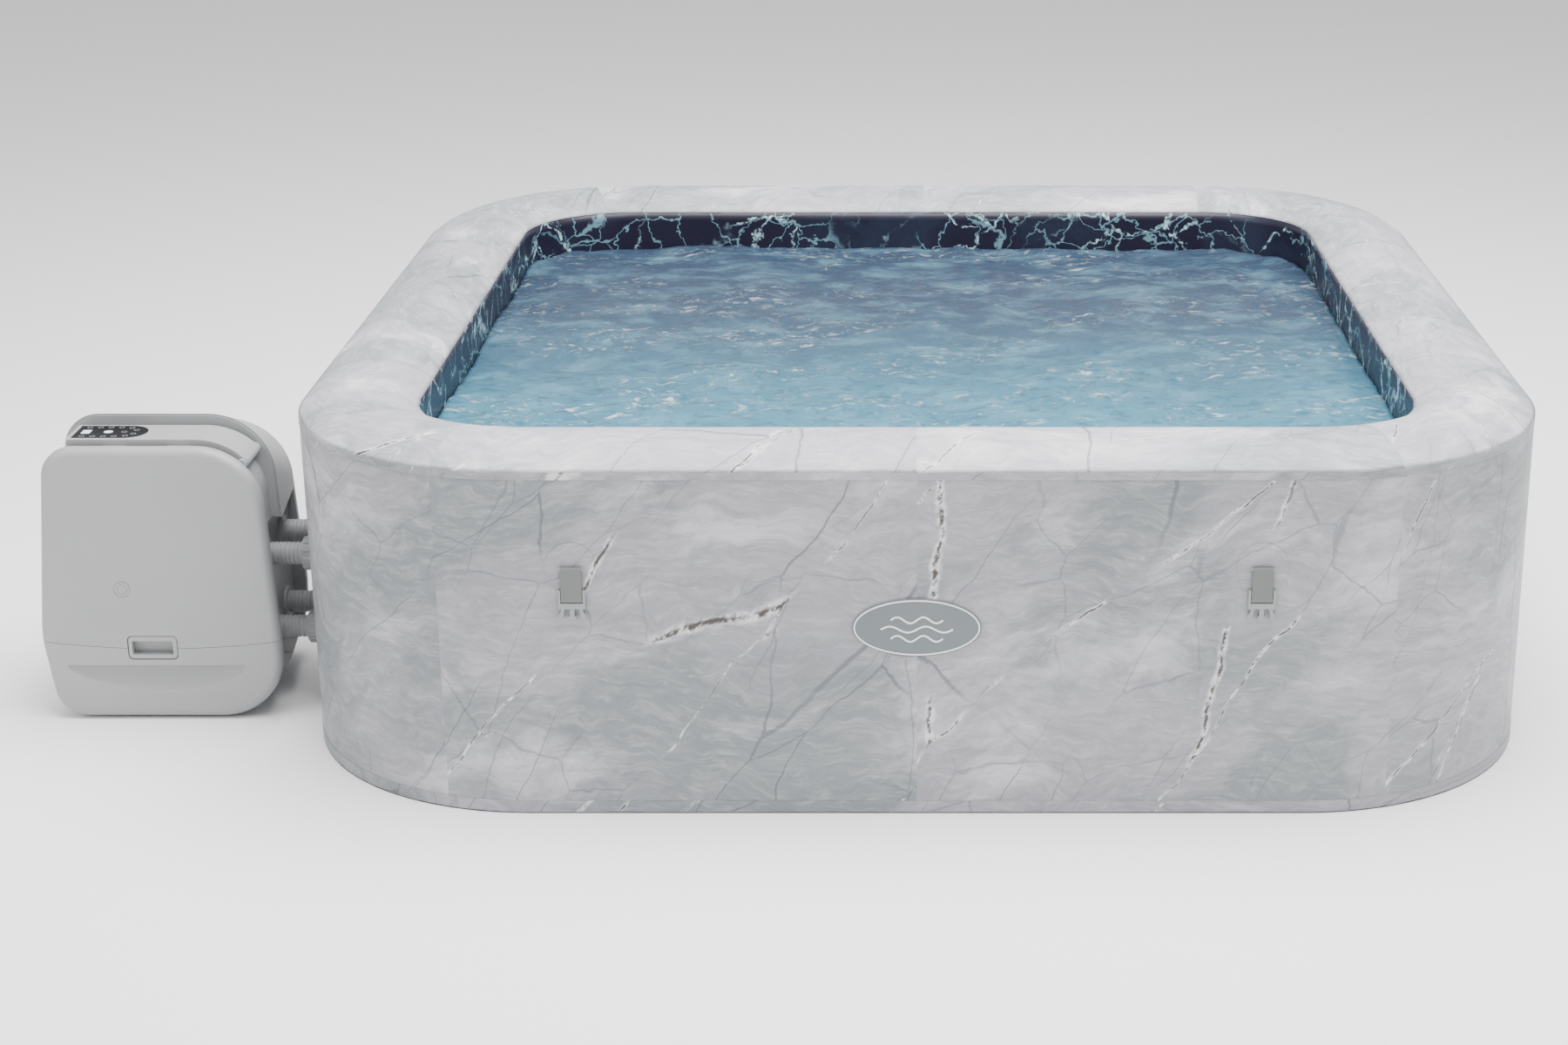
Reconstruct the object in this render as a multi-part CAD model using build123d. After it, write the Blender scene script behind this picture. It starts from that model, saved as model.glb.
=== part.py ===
"""Square inflatable hot tub with an external pump unit.

Millimetres. The origin is on the ground under the middle of the tub, +Z up, -Y towards the front
wall with the badge, and the pump unit stands on the -X side.
"""
from build123d import *
import os
from math import cos, radians, sin, sqrt

os.makedirs("parts", exist_ok=True)

# ---- Driving dimensions of the tub -------------------------------------------------------------
tub_width = 2260.0          # outside of the wall, both ways
corner_radius = 450.0       # outside of the wall in plan
seam_height = 630.0         # where the crowned top panel meets both walls
crown_rise = 40.0           # top panel above its two seams
wall_depth = 216.0          # outside face to basin face
skin = 1.2                  # laminate thickness
band_thickness = 0.8        # welded seam bands
top_band_height = 13.0
bottom_band_height = 24.0
bottom_band_low = 3.0
beam_pitch = 150.0          # spacing of the internal webs along a straight wall
beams_per_corner = 5
hole_gap = 0.3              # clearance round anything that passes through a skin

# ---- Air jet channel and massage jets ----------------------------------------------------------
channel_size = 60.0         # up the wall and out along the floor
air_hole_diameter = 3.0
air_hole_pitch = 110.0
jet_height = 250.0
jet_offset = 300.0          # from the middle of each wall
jet_flange_diameter = 84.0
jet_flange_thickness = 5.0
jet_barrel_diameter = 46.0
jet_barrel_length = 16.0
jet_bore_diameter = 18.0

# ---- Badge -------------------------------------------------------------------------------------
badge_width = 222.0
badge_height = 106.0
badge_thickness = 3.0
badge_centre_height = 351.0

# ---- Cover buckles -----------------------------------------------------------------------------
buckle_offset = 590.0       # from the middle of each wall
patch_diameter = 90.0
patch_thickness = 1.0
patch_centre_height = 460.0
strap_width = 36.0
strap_thickness = 1.6
strap_top_height = 462.0
bar_height = 402.0
bar_diameter = 4.4
bar_gap = 0.3               # between a bar and the webbing round it
bar_post = 2.0              # posts that hold the patch's bar, one each side of the webbing
strap_to_patch = 0.3
buckle_thickness = 7.0
buckle_side = 5.3             # buckle beyond the webbing, each side
ear_width = 4.2
ear_top_height = 421.0
prong_tip_height = 366.0
base_height = 10.0
base_gap = 0.6              # between the webbing loop and the buckle base
body_gap = 0.3              # between a moving shell and the one behind it

# ---- Valves on the tub -------------------------------------------------------------------------
valve_flange_diameter = 62.0
valve_flange_thickness = 3.0
spout_diameter = 26.0
spout_bore_diameter = 18.0
spout_length = 18.0
lid_thickness = 4.0
lid_overhang = 3.0
lid_gap = 0.2
lid_barrel_diameter = 5.0
lid_pin_diameter = 2.0
drain_valve_height = 75.0
drain_valve_offset = 420.0  # along the back wall
air_valve_height = 470.0
air_valve_offset = 330.0    # along the left wall

# ---- Couplings between tub and pump ------------------------------------------------------------
port_rows = (148.0, 297.0)      # heights
port_columns = (-600.0, -465.0) # places along Y
pipe_diameter = 50.0
pipe_bore_diameter = 40.0
pipe_stand_out = 26.0           # through-pipe end beyond the wall
wall_flange_diameter = 88.0
wall_flange_thickness = 4.0
nut_wall = 8.0                # nut beyond the pipe, ribs included
nut_length = 38.0
nut_rib_count = 12
nut_rib_radius = 3.0
nut_lip = 4.0
hose_diameter = 43.0
hose_bore_diameter = 34.0
hose_rib_depth = 1.6
hose_rib_pitch = 8.0
screen_diameter = 78.0
screen_depth = 34.0
screen_slot_count = 9
screen_slot_width = 3.0

# ---- Pump unit ---------------------------------------------------------------------------------
pump_stand_off = 300.0      # from the tub's wall to the middle of the pump's front face
pump_front = -714.0
cap_depth = 24.0            # front cap, from its face to the flange
waist_depth = 115.0         # recessed band between the front cap and the back cover
back_depth = 225.0
pump_height = 540.0         # front cap
back_height = 568.0         # back cover at its front edge
back_end_height = 490.0     # back cover at its rear edge
foot_height = 4.0
foot_diameter = 34.0
foot_block = 16.0
filter_radius = 46.0
filter_top = 190.0
gland_diameter = 22.0
gland_x = 60.0
gland_height = 90.0
shell_wall = 3.0
waist_inset = 22.0
flange_inset = 8.0
front_round = 16.0
rear_round = 34.0
parting_height = 145.0      # where the hatch meets the lower front, on the middle line
parting_rise = 20.0         # and how much higher it is at the sides
parting_gap = 0.8
port_bay = (-668.0, -398.0, 86.0, 362.0)  # Y from, Y to, Z from, Z to
port_plate_stand_off = 118.0 # from the tub's wall
port_flange_diameter = 62.0
port_flange_thickness = 6.0

# ---- Control arm -------------------------------------------------------------------------------
arm_left = -150.0
arm_top = 550.0
arm_thickness = 22.0
arm_front_gap = 10.0        # from the front cap's rear face
arm_width = 92.0
arm_end_angle = 46.0        # round the corner, from upright
arm_pin_diameter = 6.0
arm_ear_radius = 10.0
running_gap = 0.05
ear_gap = 1.0
panel_length = 134.0
panel_margin = 7.0
panel_thickness = 1.6

# ---- Hatch, latch and button -------------------------------------------------------------------
hatch_pin_diameter = 4.0
hatch_axis_behind = 4.0     # axis behind the cap's rear face
hatch_axis_drop = 5.0       # axis below the cap's top
hinge_barrel_diameter = 8.0
hinge_places = (-70.0, 50.0)
hinge_length = 22.0
latch_width = 93.0
latch_height = 46.0
latch_x = -16.0
latch_centre_height = 147.0
latch_corner = 9.0
latch_depth = 19.0
latch_side_border = 8.0
latch_top_border = 9.0
latch_bottom_border = 9.0
latch_gap = 1.0
latch_heel = 9.0            # chamfer that lets the latch tip out past the lower front
latch_roll = 4.0            # rounded front edge, whose top run is the latch's pivot
button_x = -63.0
button_height = 265.0
button_diameter = 17.5
button_length = 9.0
button_gap = 0.4
button_collar_diameter = 22.0
button_groove_diameter = 32.0
button_groove = 1.0

half = tub_width / 2
buckle_half_width = strap_width / 2 + buckle_side
nut_diameter = pipe_diameter + 2 * nut_wall
pump_x = -half - pump_stand_off
port_plate_x = -half - port_plate_stand_off
basin_half = half - wall_depth
inner_corner = corner_radius - wall_depth
straight_half = half - corner_radius
cap_rear = pump_front + cap_depth
waist_rear = cap_rear + waist_depth
pump_rear = waist_rear + back_depth


def write(name, shape):
    """Writes one node. A list of solids becomes one file."""
    solids = shape.solids() if not isinstance(shape, list) else [s for p in shape for s in p.solids()]
    body = Compound(children=solids) if len(solids) > 1 else solids[0]
    export_step(body, f"parts/{name}.step")


def rounded_square(half_width, radius):
    return RectangleRounded(2 * half_width, 2 * half_width, radius)


def wall_ring(outer_half, thickness, low, high, outer_radius):
    """A rounded-square tube standing on Z = low."""
    ring = rounded_square(outer_half, outer_radius) - rounded_square(
        outer_half - thickness, outer_radius - thickness)
    return Pos(0, 0, low) * extrude(ring, high - low)


def swept_round(section, edge_half, edge_radius):
    """Carries a section round the rounded square. The section lies in XZ, and its X = 0 is the edge at
    edge_half, with X growing outwards."""
    straight = edge_half - edge_radius
    pieces = []
    for quarter in range(4):
        side = Pos(edge_half, 0, 0) * extrude(section, straight, both=True)
        corner_axis = Axis((straight, straight, 0), (0, 0, 1))
        corner = revolve(Pos(edge_half, straight, 0) * section, corner_axis, 90)
        pieces += [Rot(0, 0, 90 * quarter) * side, Rot(0, 0, 90 * quarter) * corner]
    whole = pieces[0]
    for piece in pieces[1:]:
        whole = whole + piece
    return whole


def on_wall(side):
    """Turns a piece built at the front wall to one of the four walls: 0 front, 1 right, 2 back, 3 left."""
    return Rot(0, 0, 90 * side)


def port_places():
    return [(y, z) for z in port_rows for y in port_columns]


def along_x(diameter, x_from, x_to, y, z):
    return Pos((x_from + x_to) / 2, y, z) * Rot(0, 90, 0) * Cylinder(diameter / 2, abs(x_to - x_from))


def along_y(diameter, y_from, y_to, x, z):
    return Pos(x, (y_from + y_to) / 2, z) * Rot(90, 0, 0) * Cylinder(diameter / 2, abs(y_to - y_from))


# ---- Tub skins ---------------------------------------------------------------------------------
def pipe_holes(clear):
    holes = [along_x(pipe_diameter + 2 * clear, -half - 40, -basin_half + 40, y, z) for y, z in port_places()]
    return holes


def outer_wall():
    wall = wall_ring(half, skin, skin, seam_height, corner_radius)
    for hole in pipe_holes(hole_gap):
        wall = wall - hole
    wall = wall - spout_hole(drain_place()) - spout_hole(air_place())
    return wall


def inner_wall():
    wall = wall_ring(basin_half + skin, skin, skin, seam_height, inner_corner + skin)
    for hole in pipe_holes(hole_gap):
        wall = wall - hole
    return wall


def top_panel():
    """Crowned strip from the outer seam to the basin seam, a circular arc in section."""
    upper = ThreePointArc((0, seam_height), (-wall_depth / 2, seam_height + crown_rise),
                          (-wall_depth, seam_height))
    lower = ThreePointArc((-wall_depth + skin, seam_height),
                          (-wall_depth / 2, seam_height + crown_rise - skin), (-skin, seam_height))
    ends = [Line((-wall_depth, seam_height), (-wall_depth + skin, seam_height)),
            Line((-skin, seam_height), (0, seam_height))]
    section = Plane.XZ * make_face([upper, lower, *ends])
    return swept_round(section, half, corner_radius)


def base_sheet():
    return extrude(rounded_square(half, corner_radius), skin)


def floor_liner():
    return Pos(0, 0, skin) * extrude(rounded_square(basin_half, inner_corner), skin)


def seam_band(low, high):
    return wall_ring(half + band_thickness, band_thickness, low, high, corner_radius + band_thickness)


def wall_beams():
    """Vertical webs that tie the outer wall to the inner wall and keep both flat. The pipes pass them."""
    web_height = seam_height - skin
    room = wall_ring(half - skin, wall_depth - 2 * skin, skin, seam_height, corner_radius - skin)
    middle = half - wall_depth / 2
    per_side = int(straight_half // beam_pitch)
    webs = []
    for side in range(4):
        for n in range(-per_side, per_side + 1):
            web = Pos(n * beam_pitch, -middle, skin + web_height / 2) * Box(skin, wall_depth, web_height)
            webs.append(on_wall(side) * web)
        for n in range(1, beams_per_corner + 1):
            angle = 90 * n / (beams_per_corner + 1)
            out = corner_radius - wall_depth / 2
            web = Pos(out, 0, skin + web_height / 2) * Box(wall_depth, skin, web_height)
            webs.append(on_wall(side) * Pos(straight_half, straight_half, 0) * Rot(0, 0, angle) * web)
    holes = pipe_holes(hole_gap)
    return [(web & room) - holes for web in webs]


def air_jet_channel():
    """Flat welded strip across the corner between basin wall and floor, with a row of air holes."""
    floor = 2 * skin
    thick = skin * sqrt(2)
    section = Plane.XZ * make_face(Polyline((0, floor + channel_size), (-channel_size, floor),
                                            (-channel_size + thick, floor), (0, floor + channel_size - thick),
                                            close=True))
    channel = swept_round(section, basin_half, inner_corner)
    row = int((basin_half - inner_corner) // air_hole_pitch)
    drills = []
    for side in range(4):
        for n in range(-row, row + 1):
            drill = Rot(45, 0, 0) * Cylinder(air_hole_diameter / 2, 4 * skin + 8)
            place = Pos(n * air_hole_pitch, -basin_half + channel_size / 2, floor + channel_size / 2)
            drills.append(on_wall(side) * place * drill)
    return channel - drills


def jet_nozzles():
    """Massage jets: a flange on the basin wall with a barrel and a bore, two on each wall."""
    face = -basin_half
    flange = along_y(jet_flange_diameter, face, face + jet_flange_thickness, 0, jet_height)
    barrel_end = face + jet_flange_thickness + jet_barrel_length
    barrel = along_y(jet_barrel_diameter, face, barrel_end, 0, jet_height)
    bore = along_y(jet_bore_diameter, face, barrel_end, 0, jet_height)
    nozzle = flange + barrel - bore
    nozzle = chamfer(nozzle.edges().filter_by(GeomType.CIRCLE).group_by(Axis.Y)[-1], 2)
    return [on_wall(side) * Pos(offset, 0, 0) * nozzle
            for side in range(4) for offset in (-jet_offset, jet_offset)]


def badge_plate():
    plate = Plane((0, -half, badge_centre_height), x_dir=(1, 0, 0), z_dir=(0, -1, 0)) * Ellipse(
        badge_width / 2, badge_height / 2)
    plate = extrude(plate, badge_thickness)
    return fillet(plate.edges().group_by(Axis.Y)[0], 1.0)


# ---- Buckles -----------------------------------------------------------------------------------
loop_outer = bar_diameter / 2 + bar_gap + strap_thickness
strap_middle = -half - patch_thickness - strap_to_patch - loop_outer


def patch(offset):
    """Welded disc with the bar that the webbing hangs from."""
    disc = along_y(patch_diameter, -half - patch_thickness, -half, offset, patch_centre_height)
    height = strap_top_height - loop_outer
    inner = strap_width / 2 + 0.5
    bar = along_x(bar_diameter, offset - inner - bar_post, offset + inner + bar_post, strap_middle, height)
    depth = -half - strap_middle
    for side in (-1, 1):
        middle = offset + side * (inner + bar_post / 2)
        disc = disc + Pos(middle, -half - depth / 2, height) * Box(bar_post, depth, bar_diameter)
    return disc + bar


def strap_loop(offset):
    """Closed loop of webbing, down from the patch and round the buckle's bar."""
    def stadium(radius):
        length = strap_top_height - loop_outer - bar_height
        middle = Pos(0, (bar_height + length / 2)) * Rectangle(2 * radius, length)
        return middle + Pos(0, bar_height) * Circle(radius) + Pos(0, bar_height + length) * Circle(radius)

    section = stadium(loop_outer) - stadium(loop_outer - strap_thickness)
    # the sketch's X is the way out of the wall and its Y is up
    plane = Plane((offset - strap_width / 2, strap_middle, 0), x_dir=(0, -1, 0), z_dir=(-1, 0, 0))
    return extrude(plane * section, -strap_width)


def buckle(offset):
    """Plug half of a side-release buckle: a bar between two ears, a base, a guide and two sprung prongs."""
    base_top = bar_height - loop_outer - base_gap
    base_low = base_top - base_height
    reach = base_low - prong_tip_height
    base = Pos(0, (base_top + base_low) / 2) * Rectangle(2 * buckle_half_width, base_height)
    ear_middle = buckle_half_width - ear_width / 2
    ear = Rectangle(ear_width, ear_top_height - base_low)
    ears = [Pos(side * ear_middle, (ear_top_height + base_low) / 2) * ear for side in (-1, 1)]
    guide = Pos(0, base_low - reach * 0.42) * Rectangle(8, reach * 0.9) + Pos(
        0, base_low - reach * 0.8) * Circle(6.5)
    outline = base + ears[0] + ears[1] + guide
    for side in (-1, 1):
        x = side * buckle_half_width
        prong = Polyline((x * 0.52, base_low + 1), (x * 0.62, base_low - reach * 0.45),
                         (x * 0.72, prong_tip_height), (x * 0.95, prong_tip_height + 2),
                         (x * 1.0, base_low - reach * 0.55), (x * 0.84, base_low - reach * 0.3),
                         (x * 0.8, base_low + 1), close=True)
        outline = outline + make_face(prong)
    plane = Plane((offset, strap_middle - buckle_thickness / 2, 0), x_dir=(1, 0, 0), z_dir=(0, -1, 0))
    body = extrude(plane * outline, -buckle_thickness)
    ends = (offset - buckle_half_width, offset + buckle_half_width)
    bar = along_x(bar_diameter, *ends, strap_middle, bar_height)
    return body + bar


wall_names = ("front", "right", "back", "left")
side_names = ("left", "right")


def buckle_parts():
    patches = []
    for side, wall in enumerate(wall_names):
        for end, offset in zip(side_names, (-buckle_offset, buckle_offset)):
            patches.append(on_wall(side) * patch(offset))
            write(f"strap_{wall}_{end}", on_wall(side) * strap_loop(offset))
            write(f"buckle_{wall}_{end}", on_wall(side) * buckle(offset))
    write("buckle_patches", patches)


# ---- Valves ------------------------------------------------------------------------------------
def drain_place():
    return on_wall(2) * Pos(-drain_valve_offset, -half, drain_valve_height)


def air_place():
    return on_wall(3) * Pos(-air_valve_offset, -half, air_valve_height)


def spout_hole(place):
    return place * Rot(90, 0, 0) * Cylinder(spout_diameter / 2 + hole_gap, 30)


def valve_body(place):
    """Flanged spout that stands out of a wall, built along -Y from its origin on the wall's face."""
    flange = along_y(valve_flange_diameter, -valve_flange_thickness, 0, 0, 0)
    spout = along_y(spout_diameter, -spout_length, 14, 0, 0)
    bore = along_y(spout_bore_diameter, -spout_length, 14, 0, 0)
    lug_height = spout_diameter / 2 + lid_overhang + lid_barrel_diameter / 2
    lug = Pos(0, -spout_length + 4, lug_height / 2) * Box(5, 8, lug_height)
    lug = lug + Pos(0, lid_axis_y(), lug_height) * Rot(0, 90, 0) * Cylinder(lid_barrel_diameter / 2, 5)
    pin_hole = along_x(lid_pin_diameter + 2 * running_gap, -2.5, 2.5, lid_axis_y(), lug_height)
    return place * (flange + spout + (lug - pin_hole) - bore)


def lid_axis_y():
    return -spout_length - lid_gap - lid_thickness / 2


def valve_lid(place):
    """Flip lid over the spout's mouth, with two ears and a pin through the lug above the spout."""
    radius = spout_diameter / 2 + lid_overhang
    axis_height = spout_diameter / 2 + lid_overhang + lid_barrel_diameter / 2
    face = -spout_length - lid_gap
    disc = along_y(2 * radius, face - lid_thickness, face, 0, 0)
    ears = [Pos(side * 6.5, lid_axis_y(), axis_height / 2 + 6) * Box(5, lid_thickness, axis_height - 12)
            + along_x(lid_barrel_diameter, side * 6.5 - 2.5, side * 6.5 + 2.5, lid_axis_y(), axis_height)
            for side in (-1, 1)]
    pin = Pos(0, lid_axis_y(), axis_height) * Rot(0, 90, 0) * Cylinder(lid_pin_diameter / 2, 16)
    notch = Pos(0, lid_axis_y(), axis_height - 2.2) * Box(6, lid_thickness + 4, lid_barrel_diameter + 5)
    return place * (disc - notch + ears[0] + ears[1] + pin)


# ---- Couplings ---------------------------------------------------------------------------------
nut_outer_end = -half - wall_flange_thickness - nut_length
hose_tub_end = -half - pipe_stand_out


def coupling_parts():
    pipes, flanges, nuts, hoses, screens = [], [], [], [], []
    for y, z in port_places():
        pipe = along_x(pipe_diameter, -half - pipe_stand_out, -basin_half + 6, y, z)
        pipes.append(pipe - along_x(pipe_bore_diameter, -half - 60, -basin_half + 60, y, z))
        ring = along_x(wall_flange_diameter, -half - wall_flange_thickness, -half, y, z)
        flanges.append(ring - along_x(pipe_diameter, -half - 60, -half + 60, y, z))
        ring = along_x(wall_flange_diameter, -basin_half, -basin_half + wall_flange_thickness, y, z)
        flanges.append(ring - along_x(pipe_diameter, -basin_half - 60, -basin_half + 60, y, z))
        nuts.append(coupling_nut(y, z))
        hoses.append(corrugated_hose(y, z))
        screens.append(basin_screen(y, z))
    write("wall_pipes", pipes)
    write("wall_flanges", flanges)
    write("coupling_nuts", nuts)
    write("corrugated_hoses", hoses)
    write("basin_screens", screens)


def coupling_nut(y, z):
    """Ribbed union nut: screws on the wall pipe and holds the hose end against it."""
    body = along_x(nut_diameter - 2 * nut_rib_radius, nut_outer_end, -half - wall_flange_thickness, y, z)
    rib = along_x(2 * nut_rib_radius, nut_outer_end + 2, -half - wall_flange_thickness - 2, 0, 0)
    out = nut_diameter / 2 - nut_rib_radius
    for n in range(nut_rib_count):
        angle = radians(360 * n / nut_rib_count)
        body = body + Pos(0, y + out * cos(angle), z + out * sin(angle)) * rib
    body = body - along_x(pipe_diameter, -half - pipe_stand_out - 3, -half, y, z)
    return body - along_x(hose_diameter + 2 * hose_rib_depth + 0.6, nut_outer_end - 5, -half, y, z)


def corrugated_hose(y, z):
    """Short ribbed hose from the pump's port to the wall pipe, turned from one profile."""
    start, end = port_plate_x + port_flange_thickness, hose_tub_end
    low, high = hose_diameter / 2 - hose_rib_depth, hose_diameter / 2
    count = int((end - start - 12) // hose_rib_pitch)
    points = [(start, hose_bore_diameter / 2), (start, high), (start + 5, high), (start + 5, low)]
    for n in range(count):
        x = start + 7 + n * hose_rib_pitch
        points += [(x, low), (x + 1, high), (x + hose_rib_pitch - 3, high), (x + hose_rib_pitch - 2, low)]
    points += [(end - 4, low), (end - 4, high), (end, high), (end, hose_bore_diameter / 2)]
    profile = Plane.XZ * make_face(Polyline(*points, close=True))
    return Pos(0, y, z) * revolve(profile, Axis.X)


def basin_screen(y, z):
    """Slotted cup over a pipe mouth inside the basin."""
    face = -basin_half + wall_flange_thickness
    cup = along_x(screen_diameter, face, face + screen_depth, y, z)
    cup = fillet(cup.edges().filter_by(GeomType.CIRCLE).group_by(Axis.X)[-1], 10)
    hollow = along_x(screen_diameter - 6, face, face + screen_depth - 10, y, z)
    cup = cup - hollow
    pitch = (screen_diameter - 16) / screen_slot_count
    for n in range(screen_slot_count):
        offset = (n - (screen_slot_count - 1) / 2) * pitch
        reach = sqrt((screen_diameter / 2 - 8) ** 2 - offset ** 2)
        slot = Pos(face + screen_depth - 6, y + offset, z) * Box(20, screen_slot_width, 2 * reach)
        cup = cup - slot
    return cup


# ---- Pump shells -------------------------------------------------------------------------------
def cap_outline(inset=0.0):
    """Front view of the pump, seen from -Y: X is along the pump and Y of the sketch is height."""
    corners = [(-206, foot_height), (225, foot_height), (225, 165), (208, pump_height),
               (-190, pump_height), (-228, 165)]
    rounds = [60, 120, 250, 120, 60, 250]
    return outline_from(corners, rounds, inset)


def outline_from(corners, rounds, inset=0.0):
    face = make_face(FilletPolyline(*corners, radius=rounds, close=True))
    return offset(face, -inset) if inset else face


def back_outline(share, inset=0.0):
    """Outline of the back cover, from its front edge (share 0) to its rear edge (share 1)."""
    front = [(-200, foot_height), (218, foot_height), (222, 165), (205, back_height),
             (-180, back_height), (-222, 165)]
    rear = [(-176, 16), (194, 16), (204, 165), (182, back_end_height), (-158, back_end_height), (-198, 165)]
    corners = [(a[0] + (b[0] - a[0]) * share, a[1] + (b[1] - a[1]) * share) for a, b in zip(front, rear)]
    return outline_from(corners, [62, 118, 250, 122, 70, 250], inset)


def upright(y):
    """Sketch plane across the pump at Y = y, looking from the front, with X to the right and height up."""
    return Plane((pump_x, y, 0), x_dir=(1, 0, 0), z_dir=(0, -1, 0))


def slab(sketch, y_from, y_to):
    """A sketch of the front view carried from y_from to y_to."""
    return extrude(upright(y_to) * sketch, y_to - y_from)


def above_parting(clear):
    """Everything above the curved parting line between the hatch and the lower front."""
    low, reach = parting_height + clear, 260
    sides = low + parting_rise
    arc = ThreePointArc((-reach, sides), (0, low), (reach, sides))
    rest = Polyline((reach, sides), (reach, 700), (-reach, 700), (-reach, sides))
    return slab(make_face([arc, rest]), pump_front - 20, cap_rear + 20)


def front_cap():
    """Whole front cap as a hollow dish, before it is parted."""
    cap = slab(cap_outline(), pump_front, cap_rear)
    cap = fillet(cap.faces().sort_by(Axis.Y)[0].edges(), front_round)
    hollow = slab(cap_outline(shell_wall), pump_front + shell_wall, cap_rear)
    return cap - fillet(hollow.faces().sort_by(Axis.Y)[0].edges(), front_round - shell_wall)


def latch_hole(grow):
    shape = RectangleRounded(latch_width + 2 * grow, latch_height + 2 * grow, latch_corner + grow)
    return slab(Pos(latch_x, latch_centre_height) * shape, pump_front - 20, cap_rear - 1)


def front_hatch(cap):
    hatch = (cap & above_parting(parting_gap / 2)) - latch_hole(latch_gap)
    hatch = hatch - slab(cap_outline(-5), cap_rear - body_gap, cap_rear + 5)
    button_at = (pump_x + button_x, button_height)
    hatch = hatch - along_y(button_diameter + 2 * button_gap, pump_front - 5, cap_rear, *button_at)
    groove = along_y(button_groove_diameter, pump_front - 5, pump_front + button_groove, *button_at)
    hatch = hatch - (groove - along_y(button_groove_diameter - 3, pump_front - 6, pump_front + 5, *button_at))
    axis_y, axis_z = hatch_axis()
    for x in hinge_places:
        barrel = along_x(hinge_barrel_diameter, pump_x + x, pump_x + x + hinge_length, axis_y, axis_z)
        tab = Pos(pump_x + x + hinge_length / 2, (cap_rear - 2 + axis_y) / 2, axis_z + 1) * Box(
            hinge_length, axis_y - cap_rear + 2, 5)
        hatch = hatch + barrel + tab
    for x in hinge_places:
        hatch = hatch - along_x(hatch_pin_diameter + 2 * running_gap, pump_x + x - 1,
                                pump_x + x + hinge_length + 1, axis_y, axis_z)
    return hatch


def hatch_axis():
    return cap_rear + hatch_axis_behind, pump_height - hatch_axis_drop


def lower_front(cap):
    """Lower part of the front cap, with the finger scoop under the belt."""
    lower = (cap - above_parting(-parting_gap / 2)) - latch_hole(latch_gap)
    scoop = Pos(pump_x - 12, pump_front, 112) * scale(Sphere(1), by=(168, 15, 50))
    liner = Pos(pump_x - 12, pump_front, 112) * scale(Sphere(1), by=(171, 15 + shell_wall, 53))
    below = Pos(pump_x, pump_front, 112 - 60) * Box(500, 60, 120)
    below_liner = Pos(pump_x, pump_front, 112 + shell_wall - 60) * Box(500, 60, 120)
    inside = slab(cap_outline(shell_wall / 2), pump_front + 1, cap_rear)
    return lower + (liner & below_liner & inside) - (scoop & below)


def chassis():
    """Recessed waist of the pump: a tube, a flange behind the front cap, a bulkhead, and ears for the arm."""
    tube = slab(cap_outline(waist_inset), cap_rear, waist_rear) - slab(
        cap_outline(waist_inset + shell_wall), cap_rear, waist_rear - shell_wall)
    flange = slab(cap_outline(flange_inset), cap_rear, cap_rear + shell_wall) - slab(
        cap_outline(waist_inset + shell_wall), cap_rear, cap_rear + shell_wall)
    bulkhead = slab(back_outline(0, shell_wall + 0.3), waist_rear - shell_wall, waist_rear)
    body = tube + flange + bulkhead
    x, z = arm_axis()
    front_ear = along_y(2 * arm_ear_radius, cap_rear, arm_front() - ear_gap, x, z)
    rear_ear = along_y(2 * arm_ear_radius, arm_front() + arm_width + ear_gap, waist_rear, x, z)
    for low, high in ((cap_rear, arm_front() - ear_gap), (arm_front() + arm_width + ear_gap, waist_rear)):
        block = Pos(x - 6, (low + high) / 2, z - 10) * Rot(0, arm_end_angle, 0) * Box(14, high - low, 20)
        body = body + block
    body = body + front_ear + rear_ear
    body = body - along_y(arm_pin_diameter, cap_rear, waist_rear, x, z)
    axis_y, axis_z = hatch_axis()
    for place in hinge_places:
        body = body - along_x(hinge_barrel_diameter + 2, pump_x + place - 0.5,
                              pump_x + place + hinge_length + 0.5, axis_y, axis_z)
        for start in (place - 9, place + hinge_length + 1):
            lug = along_x(hinge_barrel_diameter, pump_x + start, pump_x + start + 8, axis_y, axis_z)
            leg = Pos(pump_x + start + 4, cap_rear + shell_wall + 1.5, axis_z - 10) * Box(8, 5, 20)
            pin_hole = along_x(hatch_pin_diameter, pump_x + start - 2, pump_x + start + 12, axis_y, axis_z)
            lug = lug + leg - pin_hole
            body = body + lug
    return body - port_bay_room(shell_wall + 0.3)


def port_bay_room(grow):
    """Space of the port bay in the pump's tub side."""
    y_from, y_to, z_from, z_to = port_bay
    size = (200, y_to - y_from + 2 * grow, z_to - z_from + 2 * grow)
    return Pos(port_plate_x - grow + 100, (y_from + y_to) / 2, (z_from + z_to) / 2) * Box(*size)


def port_box():
    """Open box that lines the port bay, with four spigots moulded on its floor."""
    envelope = slab(cap_outline(waist_inset), cap_rear, waist_rear) + back_body()
    box = (port_bay_room(shell_wall) - port_bay_room(0)) & envelope
    for y, z in port_places():
        box = box + along_x(port_flange_diameter, port_plate_x, port_plate_x + port_flange_thickness, y, z)
        box = box + along_x(hose_diameter - 4, port_plate_x - 30, port_plate_x, y, z)
    for y, z in port_places():
        box = box - along_x(hose_bore_diameter - 4, port_plate_x - 40, port_plate_x + 20, y, z)
    return box


def back_body():
    """Outside of the back cover as a solid."""
    outer = loft([upright(waist_rear) * back_outline(0), upright(pump_rear) * back_outline(1)])
    return fillet(outer.faces().sort_by(Axis.Y)[-1].edges(), rear_round)


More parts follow.
